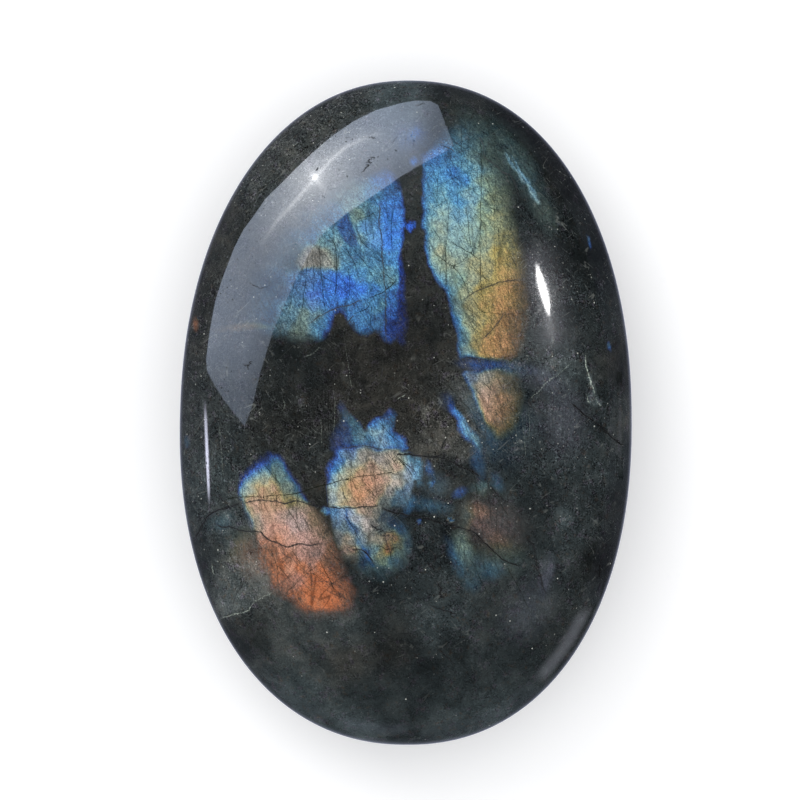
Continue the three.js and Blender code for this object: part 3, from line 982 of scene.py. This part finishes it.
back_cracks = draw_cracks(raggedness=1, front=False, cracks=[
    (1.2, (190, 545), (214, 556), (230, 560), (262, 553), (290, 550), (318, 561), (340, 575), (366, 580),
     (390, 590), (422, 584), (450, 585)),
    (1, (560, 600), (530, 560), (500, 520), (480, 470), (470, 430)),
    (1, (430, 120), (424, 150), (428, 180), (440, 212), (440, 240), (431, 276), (435, 310)),
    (0.9, (250, 300), (300, 330), (340, 370), (350, 420)),
    (0.6, (622, 441), (580, 450), (540, 470)),
])
cracks[~faces_front] = back_cracks[~faces_front]

# %% [markdown]
# The flashes fade where the front turns into the edge, because the layers are then seen from the side.

# %% Store everything on the stone
EDGE_FADE = 0.0025  # metres above or below the widest line
flash[:, 1] *= smooth(np.abs(place[:, 2] - WIDEST) / EDGE_FADE)
drawn = {"flash": flash, "rock": rock, "crack": cracks, "upright": upright, "slanting": slanting}
for name, values in drawn.items():
    attribute = stone.data.attributes.new(name, "FLOAT_VECTOR", "POINT")
    attribute.data.foreach_set("vector", values.ravel())

# %% [markdown]
# ## The finish
# One material does it all. Its colour starts as dark rock with clouds, grit and specks. The flash's
# order runs through a ramp of spectral colours and covers the rock as strongly as the flash glows. The
# cracks darken both. Over it lies a glassy polish: a smooth surface that mirrors the lamps sharply, and
# a thin rough coat that gives bright lamps a soft grey halo, as fine wear does.

# %% Helpers for building the material
def new_material(name):
    """An empty material, which takes the nodes that are put from now on."""
    global tree
    made = bpy.data.materials.new(name)
    made.use_nodes = True
    tree = made.node_tree
    tree.nodes.clear()
    return made


def put(kind, inputs=None, **settings):
    """Adds a shader node, sets it up and plugs values or other nodes' outputs into it."""
    made = tree.nodes.new("ShaderNode" + kind)
    for name, value in settings.items():
        setattr(made, name, value)
    for name, value in (inputs or {}).items():
        if isinstance(value, bpy.types.NodeSocket):
            tree.links.new(value, made.inputs[name])
        else:
            made.inputs[name].default_value = value
    return made


def calc(operation, a, b=0.0, c=0.0, clamp=False):
    """One step of arithmetic."""
    return put("Math", {0: a, 1: b, 2: c}, operation=operation, use_clamp=clamp).outputs[0]


def swing(value, amount, middle=0.5):
    """A value's distance from its middle, made larger or smaller."""
    return calc("MULTIPLY_ADD", value, amount, -amount * middle)


def total(*values):
    """The sum of several values."""
    return functools.reduce(lambda a, b: calc("ADD", a, b), values)


def times(a, b):
    return calc("MULTIPLY", a, b)


def larger(a, b):
    return calc("MAXIMUM", a, b)


def one_minus(a):
    return calc("SUBTRACT", 1.0, a)


def ramp_between(value, low, high, start=0.0, end=1.0):
    """A smooth step from start to end as the value goes from low to high."""
    inputs = {"Value": value, "From Min": low, "From Max": high, "To Min": start, "To Max": end}
    return put("MapRange", inputs, interpolation_type="SMOOTHSTEP").outputs[0]


def mix(amount, a, b, how="MIX"):
    """Mixes two colours."""
    return put("Mix", {0: amount, 6: a, 7: b}, data_type="RGBA", blend_type=how).outputs[2]


def scaled(colour, amount):
    """A colour made lighter or darker, or a place on another scale."""
    return put("VectorMath", {0: colour, 3: amount}, operation="SCALE").outputs[0]


def paint(code):
    """A colour written as six hex digits, made linear for the shader."""
    shades = [int(code[i:i + 2], 16) / 255 for i in (0, 2, 4)]
    linear = [s / 12.92 if s <= 0.04045 else ((s + 0.055) / 1.055) ** 2.4 for s in shades]
    return (*linear, 1)


def noise(size, detail=2.0, roughness=0.5, stretch=(1, 1, 1), turn=0.0, warp=0.0):
    """Noise from 0 to 1 in lumps of a size in millimetres, drawn out and turned in the plane of the face."""
    at = put("Mapping", {"Vector": in_mm, "Rotation": (0, 0, math.radians(turn)),
                         "Scale": [size * s for s in stretch]}, vector_type="TEXTURE")
    return put("TexNoise", {
        "Vector": at.outputs[0], "Scale": 1.0, "Detail": detail, "Roughness": roughness, "Distortion": warp,
    }, noise_dimensions="3D").outputs[0]


def threads(size, length, turn, width):
    """Long thin lines that run roughly one way: where drawn-out noise passes through its middle."""
    drawn_out = noise(size, detail=0, stretch=(1, length, length), turn=turn)
    return one_minus(ramp_between(calc("ABSOLUTE", swing(drawn_out, 1.0)), 0.0, width))


def stored(name):
    """The three numbers of an attribute."""
    read = put("Attribute", attribute_name=name, attribute_type="GEOMETRY")
    parts = put("SeparateXYZ", {0: read.outputs["Vector"]})
    return parts.outputs[0], parts.outputs[1], parts.outputs[2]


finish = new_material("labradorite")
in_mm = scaled(put("TexCoord").outputs["Object"], 1000.0)

# %% [markdown]
# ### Dark rock
# The stored lightness is stirred by clouds of three sizes, the finest of which is a hard grit as small
# as a pixel. The stored warmth leans the grey to olive brown or to blue-green. Pale flecks gather in
# clusters where the rock is gritty, black pits are strewn everywhere.

# %% Rock colour
GAMMA = 2.2  # the stored lightness is as the eye sees it, and the shader's colours are linear
lightness, warmth, grittiness = stored("rock")
clouds = noise(2.4, detail=4, roughness=0.6, warp=0.5)
curdle = noise(0.5, detail=3, roughness=0.6)
grit = noise(0.17, detail=1, roughness=0.9)
fibres = noise(0.16, detail=1, stretch=(1, 12, 1), turn=2)
patches = noise(1.1, detail=3, roughness=0.7, warp=0.3)
veils = noise(0.75, detail=4, roughness=0.75)
coarse = times(grittiness, ramp_between(patches, 0.4, 0.62, 0.3, 1.5))
stir = total(swing(curdle, 0.8), swing(fibres, 0.5), swing(grit, 2.0))
stir = total(swing(clouds, 1.0), times(stir, calc("MULTIPLY_ADD", coarse, 0.95, 0.2)))
veil = times(ramp_between(veils, 0.58, 0.70), calc("MULTIPLY_ADD", grit, 2.0, -0.4))
stir = total(stir, times(veil, times(grittiness, 0.9)))
light = times(lightness, larger(total(stir, 1.0), 0.25))
light = calc("POWER", larger(light, 0.0), GAMMA)
warm_share = ramp_between(total(warmth, swing(clouds, 0.9)), -0.1, 1.1)
hue = mix(warm_share, paint("647275"), paint("78756c"))
hue = mix(ramp_between(total(patches, swing(curdle, 0.3)), 0.54, 0.70, 0.0, 0.6), hue, paint("77707f"))
hue = mix(ramp_between(veils, 0.32, 0.44, 0.5, 0.0), hue, paint("7d6c5c"))
rock_colour = scaled(hue, light)

cluster = noise(1.3, detail=2)
dots = put("TexVoronoi", {"Vector": in_mm, "Scale": 3.4, "Randomness": 1.0})
dot = put("SeparateColor", {0: dots.outputs["Color"]})
dot_room = total(swing(cluster, 1.8, 0.45), times(grittiness, 0.35), -0.14)
dot_size = times(calc("POWER", dot.outputs[0], 2.5), 0.32)
dot_edge = calc("SUBTRACT", dot_size, dots.outputs["Distance"])
fleck = times(ramp_between(dot_edge, -0.03, 0.09), calc("LESS_THAN", dot.outputs[1], dot_room))
bright = calc("POWER", dot.outputs[2], 2.0)
rock_colour = mix(times(fleck, bright), rock_colour, paint("c4c6be"))
pitting = total(swing(noise(0.24, detail=2), 1.0), swing(cluster, 0.6), times(grittiness, 0.06))
rock_colour = mix(ramp_between(pitting, 0.29, 0.35, 0.0, 0.9), rock_colour, paint("090908"))
scratches = larger(
    times(threads(0.7, length=8, turn=45, width=0.02), ramp_between(veils, 0.5, 0.6)),
    times(threads(0.9, length=7, turn=-50, width=0.02), ramp_between(cluster, 0.55, 0.65)))
scratches = times(scratches, times(grittiness, 0.34))
rock_colour = mix(scratches, rock_colour, paint("8f928c"))

# %% [markdown]
# ### Flash colour
# The order of thin-layer colours is a ramp. Small noise on the order lets neighbouring colours run into
# each other, a fine grain breaks the glow up, and thin streaks lie across it along the direction in
# which the crystal splits. The same streaks fray the edges of each flash. Over that lies a net of dark
# threads in three directions, and the warmest colours, which lie deepest, are shattered in two more.

# %% Flash colour
order, glow, milk = stored("flash")
flicker = noise(0.6, detail=3, roughness=0.6)
grain = noise(0.15, detail=1, roughness=0.9)
splits = noise(0.2, detail=2, roughness=0.8, stretch=(1, 5, 1), turn=25)
upright_splits = noise(0.16, detail=2, roughness=0.7, stretch=(1, 9, 1), turn=-2)
order = total(order, swing(clouds, 0.08), swing(flicker, 0.12), swing(splits, 0.06), swing(grain, 0.03))
spectrum = put("ValToRGB", {0: order})
stops = spectrum.color_ramp.elements
SPECTRUM = (
    (0.00, "0a0a18"), (0.10, "1d2c80"), (0.18, "2f58bd"), (0.24, "4274d8"), (0.28, "4c8ae0"),
    (0.34, "589ad4"), (0.40, "6aa8c8"), (0.47, "90babc"), (0.54, "9cb8a2"), (0.61, "aab28c"),
    (0.69, "bbac6c"), (0.77, "be9664"), (0.86, "d29672"), (0.95, "c27650"), (1.00, "a8603f"),
)
while len(stops) < len(SPECTRUM):
    stops.new(0.5)
for stop, (position, code) in zip(stops, SPECTRUM):
    stop.position = position
    stop.color = paint(code)
flash_colour = mix(times(milk, 0.8), spectrum.outputs[0], paint("c4b8c2"))

texture = total(0.84, swing(grain, 1.6), swing(splits, 0.8), swing(upright_splits, 0.4), swing(curdle, 0.3))
net = functools.reduce(larger, (
    times(threads(1.3, length=12, turn=28, width=0.04), ramp_between(flicker, 0.4, 0.55)),
    times(threads(1.4, length=12, turn=-3, width=0.035), ramp_between(clouds, 0.45, 0.55)),
    times(threads(1.0, length=14, turn=50, width=0.03), ramp_between(patches, 0.42, 0.55)),
))
net = times(net, 0.5)
shatter = larger(threads(1.3, length=10, turn=55, width=0.022), threads(1.2, length=9, turn=-48, width=0.02))
net = larger(net, times(shatter, ramp_between(order, 0.78, 0.92, 0.0, 0.55)))
texture = times(texture, one_minus(net))
flash_colour = scaled(flash_colour, larger(texture, 0.25))
fray = total(swing(flicker, 0.9), swing(splits, 1.1), swing(grain, 0.6))
fray = times(fray, times(calc("POWER", glow, 1.6), calc("SUBTRACT", 1.2, glow)))
ragged_glow = calc("ADD", glow, times(fray, 3.4), clamp=True)
colour = mix(ragged_glow, rock_colour, flash_colour)

# %% [markdown]
# ### Cracks on both
# The stored cosine and sine give back the distance to the nearest crack. A jagged shift of that distance
# keeps the line from looking ruled, and its width wanders. A soft band of painted shade lies on either
# side of each dark line. A pale line is drawn for a strength below nothing, broken up by the rock's grit.

# %% Crack lines
crack_reach_mm = CRACK_REACH * pixel * 1000
wander = noise(0.45, detail=3, roughness=0.7)
thickness = noise(0.9, detail=2)


def crack_lines(name, jag, thin, thick, crack_shade):
    """How dark and how pale the lines of an attribute make each place, from 0 to 1."""
    cosine, sine, strength = stored(name)
    distance = times(calc("ARCTAN2", sine, cosine), crack_reach_mm / math.pi)
    distance = calc("ABSOLUTE", total(distance, swing(wander, jag)))
    half_width = calc("MULTIPLY_ADD", swing(thickness, 2.0), thick - thin, (thin + thick) / 2)
    half_width = times(larger(half_width, thin / 2), larger(strength, 0.6))
    ink = one_minus(ramp_between(distance, times(half_width, 0.3), half_width))
    # a soft band of painted shade on either side of each dark line
    shade = times(one_minus(ramp_between(distance, 0.0, 0.3)), crack_shade)
    dark_line = calc("MULTIPLY", larger(ink, shade), larger(strength, 0.0), clamp=True)
    pale_line = times(ink, larger(times(strength, -1.0), 0.0))
    return dark_line, pale_line


long_dark, long_pale = crack_lines("crack", jag=0.30, thin=0.06, thick=0.15, crack_shade=0.2)
HAIR = {"jag": 0.12, "thin": 0.04, "thick": 0.09, "crack_shade": 0.12}
upright_dark, upright_pale = crack_lines("upright", **HAIR)
slanting_dark, slanting_pale = crack_lines("slanting", **HAIR)
hair_dark = larger(upright_dark, slanting_dark)
colour = mix(calc("MULTIPLY", hair_dark, 1.7, clamp=True), colour, paint("14180f"))
colour = mix(times(long_dark, 0.95), colour, paint("0b0a08"))
pale = larger(long_pale, larger(upright_pale, slanting_pale))
colour = mix(times(pale, ramp_between(grit, 0.42, 0.6, 0.15, 1.0)), colour, paint("b4bfb2"))

# %% [markdown]
# ### Polish
# The surface is nearly a mirror. Tiny pits and the mouths of the long cracks break it, so they show as
# dark dots and threads where a lamp is reflected. The rough coat's amount is grainy, which is what gives
# the halo of the small lamp its sandy look, and the grittier the rock, the more its polish is worn.

# %% Polish and output
pit_height = total(swing(noise(0.3, detail=1), 1.0), swing(noise(2.5, detail=2), 0.5))
pits = ramp_between(pit_height, 0.25, 0.29)
waves = noise(0.8, detail=2)
relief = calc("SUBTRACT", times(waves, 0.10), pits)
relief = calc("SUBTRACT", relief, times(long_dark, 0.5))
bump = put("Bump", {"Strength": 0.3, "Distance": 0.00002, "Height": relief})
most_wear = calc("MULTIPLY_ADD", calc("POWER", grittiness, 3.0), 0.22, 0.26)
wear = ramp_between(noise(0.18, detail=2, roughness=0.9), 0.48, 0.60, 0.0, most_wear)
roughness = calc("MULTIPLY_ADD", larger(pits, long_dark), 0.85, 0.03)

polish = put("BsdfPrincipled", {
    "Base Color": colour, "Roughness": roughness, "IOR": 1.56, "Normal": bump.outputs[0],
    "Coat Weight": wear, "Coat Roughness": 0.2, "Coat IOR": 1.5,
})
put("OutputMaterial", {"Surface": polish.outputs[0]})
stone.data.materials.clear()
stone.data.materials.append(finish)
print("finish has", len(tree.nodes), "nodes")

# %% [markdown]
# ## Lamps that reflect where the picture shows them
# On a polished dome the lamps are part of the picture: a long softbox curves round the upper left, a
# narrow lamp makes the white spark on the right. A lamp's shape is found by running the camera's view
# backwards. Each pixel of the reflection is followed down to the stone and off again, and the lamp is a
# sheet built where those rays arrive. It then mirrors exactly as drawn.

# %% Follow a pixel off the polish
PROBE = 0.00002  # metres to each side of a place, between which its slope is measured
HEIGHT_ROUNDS = 5  # of finding the place again with the height that it gives


def mirrored(columns, rows):
    """Where the pixels meet the front face, and the directions in which they leave it."""
    x, y, z = 0.0, 0.0, WIDEST
    for _ in range(HEIGHT_ROUNDS):
        spread = (CAMERA_DISTANCE + WIDEST - z) / CAMERA_DISTANCE * pixel
        x = aim_x + (columns - PICTURE / 2) * spread
        y = aim_y - (rows - PICTURE / 2) * spread
        z = front_height(x, y)
    slope_x = (front_height(x + PROBE, y) - front_height(x - PROBE, y)) / (2 * PROBE)
    slope_y = (front_height(x, y + PROBE) - front_height(x, y - PROBE)) / (2 * PROBE)
    normal = np.stack([-slope_x, -slope_y, np.ones_like(slope_x)], axis=-1)
    normal /= np.linalg.norm(normal, axis=-1, keepdims=True)
    spot = np.stack([x, y, z], axis=-1)
    view = spot - np.array(camera.location)
    view /= np.linalg.norm(view, axis=-1, keepdims=True)
    return spot, view - 2 * (view * normal).sum(axis=-1, keepdims=True) * normal


def along_rail(rail, shares):
    """Points at shares of the length of a rail, which is a line through a few pixels."""
    rail = np.array(rail, float)
    run = np.concatenate([[0], np.cumsum(np.hypot(*np.diff(rail, axis=0).T))])
    return np.stack([np.interp(shares * run[-1], run, rail[:, i]) for i in (0, 1)], axis=-1)


def off_line(columns, rows, line):
    """Distance in pixels from a line through a few pixels."""
    away = np.full(np.shape(columns), np.inf)
    for (ax, ay), (bx, by) in zip(line[:-1], line[1:]):
        dx, dy = bx - ax, by - ay
        t = np.clip(((columns - ax) * dx + (rows - ay) * dy) / (dx ** 2 + dy ** 2), 0, 1)
        away = np.minimum(away, np.hypot(columns - ax - t * dx, rows - ay - t * dy))
    return away


def steady(brightness):
    """The beam of a lamp that is equally bright all over."""
    return lambda columns, rows: (np.full(len(columns), brightness), 0)


def lamp(name, outer, inner, beam, tint, steps, distance=1.2, soft_side=0.0, soft_end=0.0, sampled=True):
    """A glowing sheet whose reflection fills the space between two rails, drawn in pixels.

    The beam gives each pixel a brightness that softens towards the sides and ends, and an extra one.
    """
    bpy.ops.object.select_all(action="DESELECT")
    bpy.ops.mesh.primitive_grid_add(x_subdivisions=steps[0], y_subdivisions=steps[1], size=2)
    sheet = bpy.context.object
    sheet.name = sheet.data.name = name
    grid = np.empty(len(sheet.data.vertices) * 3)
    sheet.data.vertices.foreach_get("co", grid)
    grid = grid.reshape(-1, 3)
    run, side = (grid[:, 0] + 1) / 2, (grid[:, 1] + 1) / 2
    drawn = along_rail(outer, run) * (1 - side[:, None]) + along_rail(inner, run) * side[:, None]
    spot, leaving = mirrored(drawn[:, 0], drawn[:, 1])
    corners = spot + leaving * distance
    sheet.data.vertices.foreach_set("co", corners.ravel())
    even, extra = beam(drawn[:, 0], drawn[:, 1])
    if soft_side:
        even = even * smooth(np.minimum(side, 1 - side) / soft_side)
    if soft_end:
        even = even * smooth(np.minimum(run, 1 - run) / soft_end)
    light = even[:, None] * np.array(paint(tint)[:3]) + np.reshape(extra, (-1, 1))
    shine = sheet.data.attributes.new("shine", "FLOAT_VECTOR", "POINT")
    shine.data.foreach_set("vector", light.ravel())
    sheet.data.update()

    material = new_material(name)
    emit = put("Emission", {"Color": put("Attribute", attribute_name="shine").outputs["Color"]})
    put("OutputMaterial", {"Surface": emit.outputs[0]})
    if not sampled:
        material.cycles.emission_sampling = "NONE"
    sheet.data.materials.append(material)
    sheet.visible_camera = sheet.visible_diffuse = sheet.visible_shadow = False
    print(name, "spans", np.round(np.ptp(corners, axis=0), 2), "m")


# %% [markdown]
# The softbox is brightest where its bulb sits behind the cloth: that is the star on the picture. Its
# glow spreads over the middle of the box, a thin bright line shows where two sheets of its cloth meet,
# and both ends are dimmer.

# %% Build the softbox
STAR = (315.0, 177.0)
SEAM = [(262, 243), (277, 221), (292, 205), (314, 179), (331, 160), (346, 147), (361, 140), (378, 134)]


def softbox_beam(columns, rows):
    star = np.hypot(columns - STAR[0], rows - STAR[1])
    seam = off_line(columns, rows, SEAM)
    # The cloth, brightest in the middle of the box
    even = 3.6 + 1.5 * smooth((columns - 300) / 90) - 1.5 * smooth((rows - 330) / 70)
    even = even - 1.4 * smooth((columns - 410) / 34)
    even = even - 1.4 * smooth((seam - 16) / 32) * smooth((columns - 240) / 40)
    # The bulb behind it, as a wide glow, a small one and a point, and its three short rays
    extra = 4.0 * np.exp(-(star / 42) ** 1.5) + 6.0 * np.exp(-star / 5) + 12 * np.exp(-(star / 2.0) ** 2)
    for (ax, ay), strength in (((303, 160), 5), ((326, 194), 4), ((330, 196), 3)):
        ray = off_line(columns, rows, [STAR, (ax, ay)])
        extra = extra + strength * np.exp(-(ray / 2.2) ** 2) * np.exp(-star / 9)
    # The seam, as a line and a soft band, both gone 100 pixels or so from the bulb
    extra = extra + 3.6 * np.exp(-(seam / 1.7) ** 2) * smooth(1.25 - star / 80)
    extra = extra + 1.8 * np.exp(-seam / 9) * smooth(1.45 - star / 80)
    return even, extra


lamp(
    "softbox", beam=softbox_beam, tint="d0e0fc", steps=(240, 60), sampled=False,
    outer=[(244.5, 426), (233, 411.5), (224, 400), (214, 384), (207, 371), (205.5, 351), (206.7, 336.7),
           (209.6, 319), (215.5, 300), (223.5, 275.4), (234.5, 247), (243.3, 230), (256.5, 212),
           (265.3, 199), (286, 178.5), (302, 162.5), (316.7, 149.2), (331.4, 136.5), (353.4, 121.3),
           (375.4, 110.3), (400, 103.3), (415.3, 100.6), (430.6, 101), (438.3, 105.2)],
    inner=[(244.5, 426), (252, 407), (256.5, 388), (261, 370.4), (266.8, 351.3), (272.7, 332.3),
           (278.5, 319), (284.4, 305), (294.7, 281.2), (302, 268), (311, 250), (324, 232.8),
           (331.4, 225.5), (346, 214), (365, 201), (380, 191), (400, 177), (423, 163.4),
           (446, 151.1), (453.6, 145)],
)

# %% [markdown]
# The narrow lamp on the right is much brighter, with a soft glow round it from the lamp's own cloth. A
# thin strip grazes the left edge, a faint one the right edge and a wider one the lower right edge, and
# a pale glow lies along the foot.

# %% Build the smaller lamps
CORE = [(536.5, 262), (538.5, 272), (541, 282), (544, 292), (546.5, 302), (548.5, 314), (551, 336)]


def spark_beam(columns, rows):
    core = off_line(columns, rows, CORE)
    lengthwise = np.abs(rows - 290) / 21  # 0 in the middle of the spark, 1 at its tips
    width = 2.7 * np.sqrt(np.maximum(1 - lengthwise ** 2, 0.1))
    bright = 90 * np.exp(-(core / width) ** 2) * smooth((1.35 - lengthwise) / 0.5)
    tail = 1.6 * np.exp(-(core / 5) ** 2) * smooth((352 - rows) / 26) * smooth((rows - 296) / 12)
    halo = 1.5 * np.exp(-core / 17) * smooth((46 - core) / 40)
    return halo, bright + tail


lamp(
    "spark", beam=spark_beam, tint="e6e4f4", steps=(110, 50),
    outer=[(492, 205), (497, 260), (502, 300), (510, 340), (518, 400)],
    inner=[(574, 205), (581, 260), (588, 300), (594, 340), (600, 400)],
)
lamp(
    "left_strip", tint="e6e8ff", steps=(60, 6),
    beam=lambda columns, rows: (7 + 9 * smooth(1 - np.abs(rows - 460) / 60), 0),
    soft_side=0.4, soft_end=0.25,
    outer=[(202.8, 396), (204, 430), (205.2, 460), (208, 510)],
    inner=[(206.4, 396), (208.2, 430), (209.4, 460), (211, 510)],
)
lamp(
    "lower_right_strip", beam=steady(1.1), tint="e4e8f6", steps=(60, 12),
    distance=0.008, soft_side=0.45, soft_end=0.2,
    outer=[(597, 604), (588, 623), (576, 645), (559, 668), (541, 688)],
    inner=[(582, 602), (569, 620), (557, 642), (543, 660), (527, 680)],
)
lamp(
    "right_strip", beam=steady(0.35), tint="e4e6fa", steps=(60, 8),
    distance=0.008, soft_side=0.5, soft_end=0.4,
    outer=[(622, 372), (623, 410), (623.5, 445), (623, 480)],
    inner=[(616.5, 372), (617, 410), (616, 445), (616, 480)],
)
lamp(
    "foot_glow", beam=steady(0.4), tint="d8e4ff", steps=(60, 8),
    distance=0.02, soft_side=0.5, soft_end=0.3,
    outer=[(325, 724), (352, 734), (385, 739), (420, 738)],
    inner=[(332, 706), (358, 716), (388, 720), (420, 719)],
)

# %% [markdown]
# ## Soft light, floor and surroundings
# The lamps above only make reflections. The light that the floor and the dull part of the stone receive
# comes from two large soft lamps and a pale sky, which the polish doesn't mirror, because in the picture
# the stone mirrors a dark room. The floor too is mirrored darker than it is, except close to the
# stone's outline, where its pale lilac makes the thin bright line round the edge.

# %% Light the scene
SKY_PALE, SKY_MIRRORED = 0.7, 0.02
FLOOR_SIZE = 6


def soft_light(name, location, size, power):
    """A square white lamp that looks at the stone and isn't mirrored."""
    light = bpy.data.objects.new(name, bpy.data.lights.new(name, "AREA"))
    bpy.context.scene.collection.objects.link(light)
    light.data.shape = "SQUARE"
    light.data.size = size
    light.data.energy = power
    light.location = location
    light.rotation_euler = (-Vector(location)).to_track_quat("-Z", "Y").to_euler()
    light.visible_glossy = False
    light.visible_camera = False


soft_light("overhead", location=(0.1, 0.0, 1.4), size=2.4, power=13.0)
soft_light("key", location=(-0.7, 0.9, 1.0), size=0.9, power=5.0)

world = bpy.data.worlds.new("room")
bpy.context.scene.world = world
world.use_nodes = True
tree = world.node_tree
tree.nodes.clear()
in_polish = put("LightPath").outputs["Is Glossy Ray"]
sky_strength = put("MapRange", {"Value": in_polish, "To Min": SKY_PALE, "To Max": SKY_MIRRORED})
sky = put("Background", {"Color": paint("fbfcff"), "Strength": sky_strength.outputs[0]})
put("OutputWorld", {"Surface": sky.outputs[0]})

bpy.ops.object.select_all(action="DESELECT")
bpy.ops.mesh.primitive_plane_add(size=FLOOR_SIZE)
floor = bpy.context.object
floor.name = floor.data.name = "floor"
floor.data.materials.append(new_material("floor"))
dull = put("BsdfPrincipled", {
    "Base Color": paint("f6f6f6"), "Roughness": 0.9, "Specular IOR Level": 0.1,
    "Emission Color": paint("ffffff"), "Emission Strength": 0.16,
})
own_place = put("TexCoord").outputs["Object"]
by_outline = {0: own_place, 1: (1 / HALF_WIDTH, 1 / HALF_LENGTH, 0)}
by_outline = put("VectorMath", by_outline, operation="MULTIPLY").outputs[0]
outlines_away = put("VectorMath", {0: by_outline}, operation="LENGTH").outputs["Value"]
mirrored_strength = put("MapRange", {
    "Value": outlines_away, "From Min": 1.1, "From Max": 1.45, "To Min": 0.8, "To Max": 0.15,
}).outputs[0]
pale_lilac = put("Emission", {"Color": paint("b0b6d0"), "Strength": mirrored_strength})
in_polish = put("LightPath").outputs["Is Glossy Ray"]
floor_look = put("MixShader", {0: in_polish, 1: dull.outputs[0], 2: pale_lilac.outputs[0]})
put("OutputMaterial", {"Surface": floor_look.outputs[0]})

bpy.context.scene.view_settings.view_transform = "Standard"
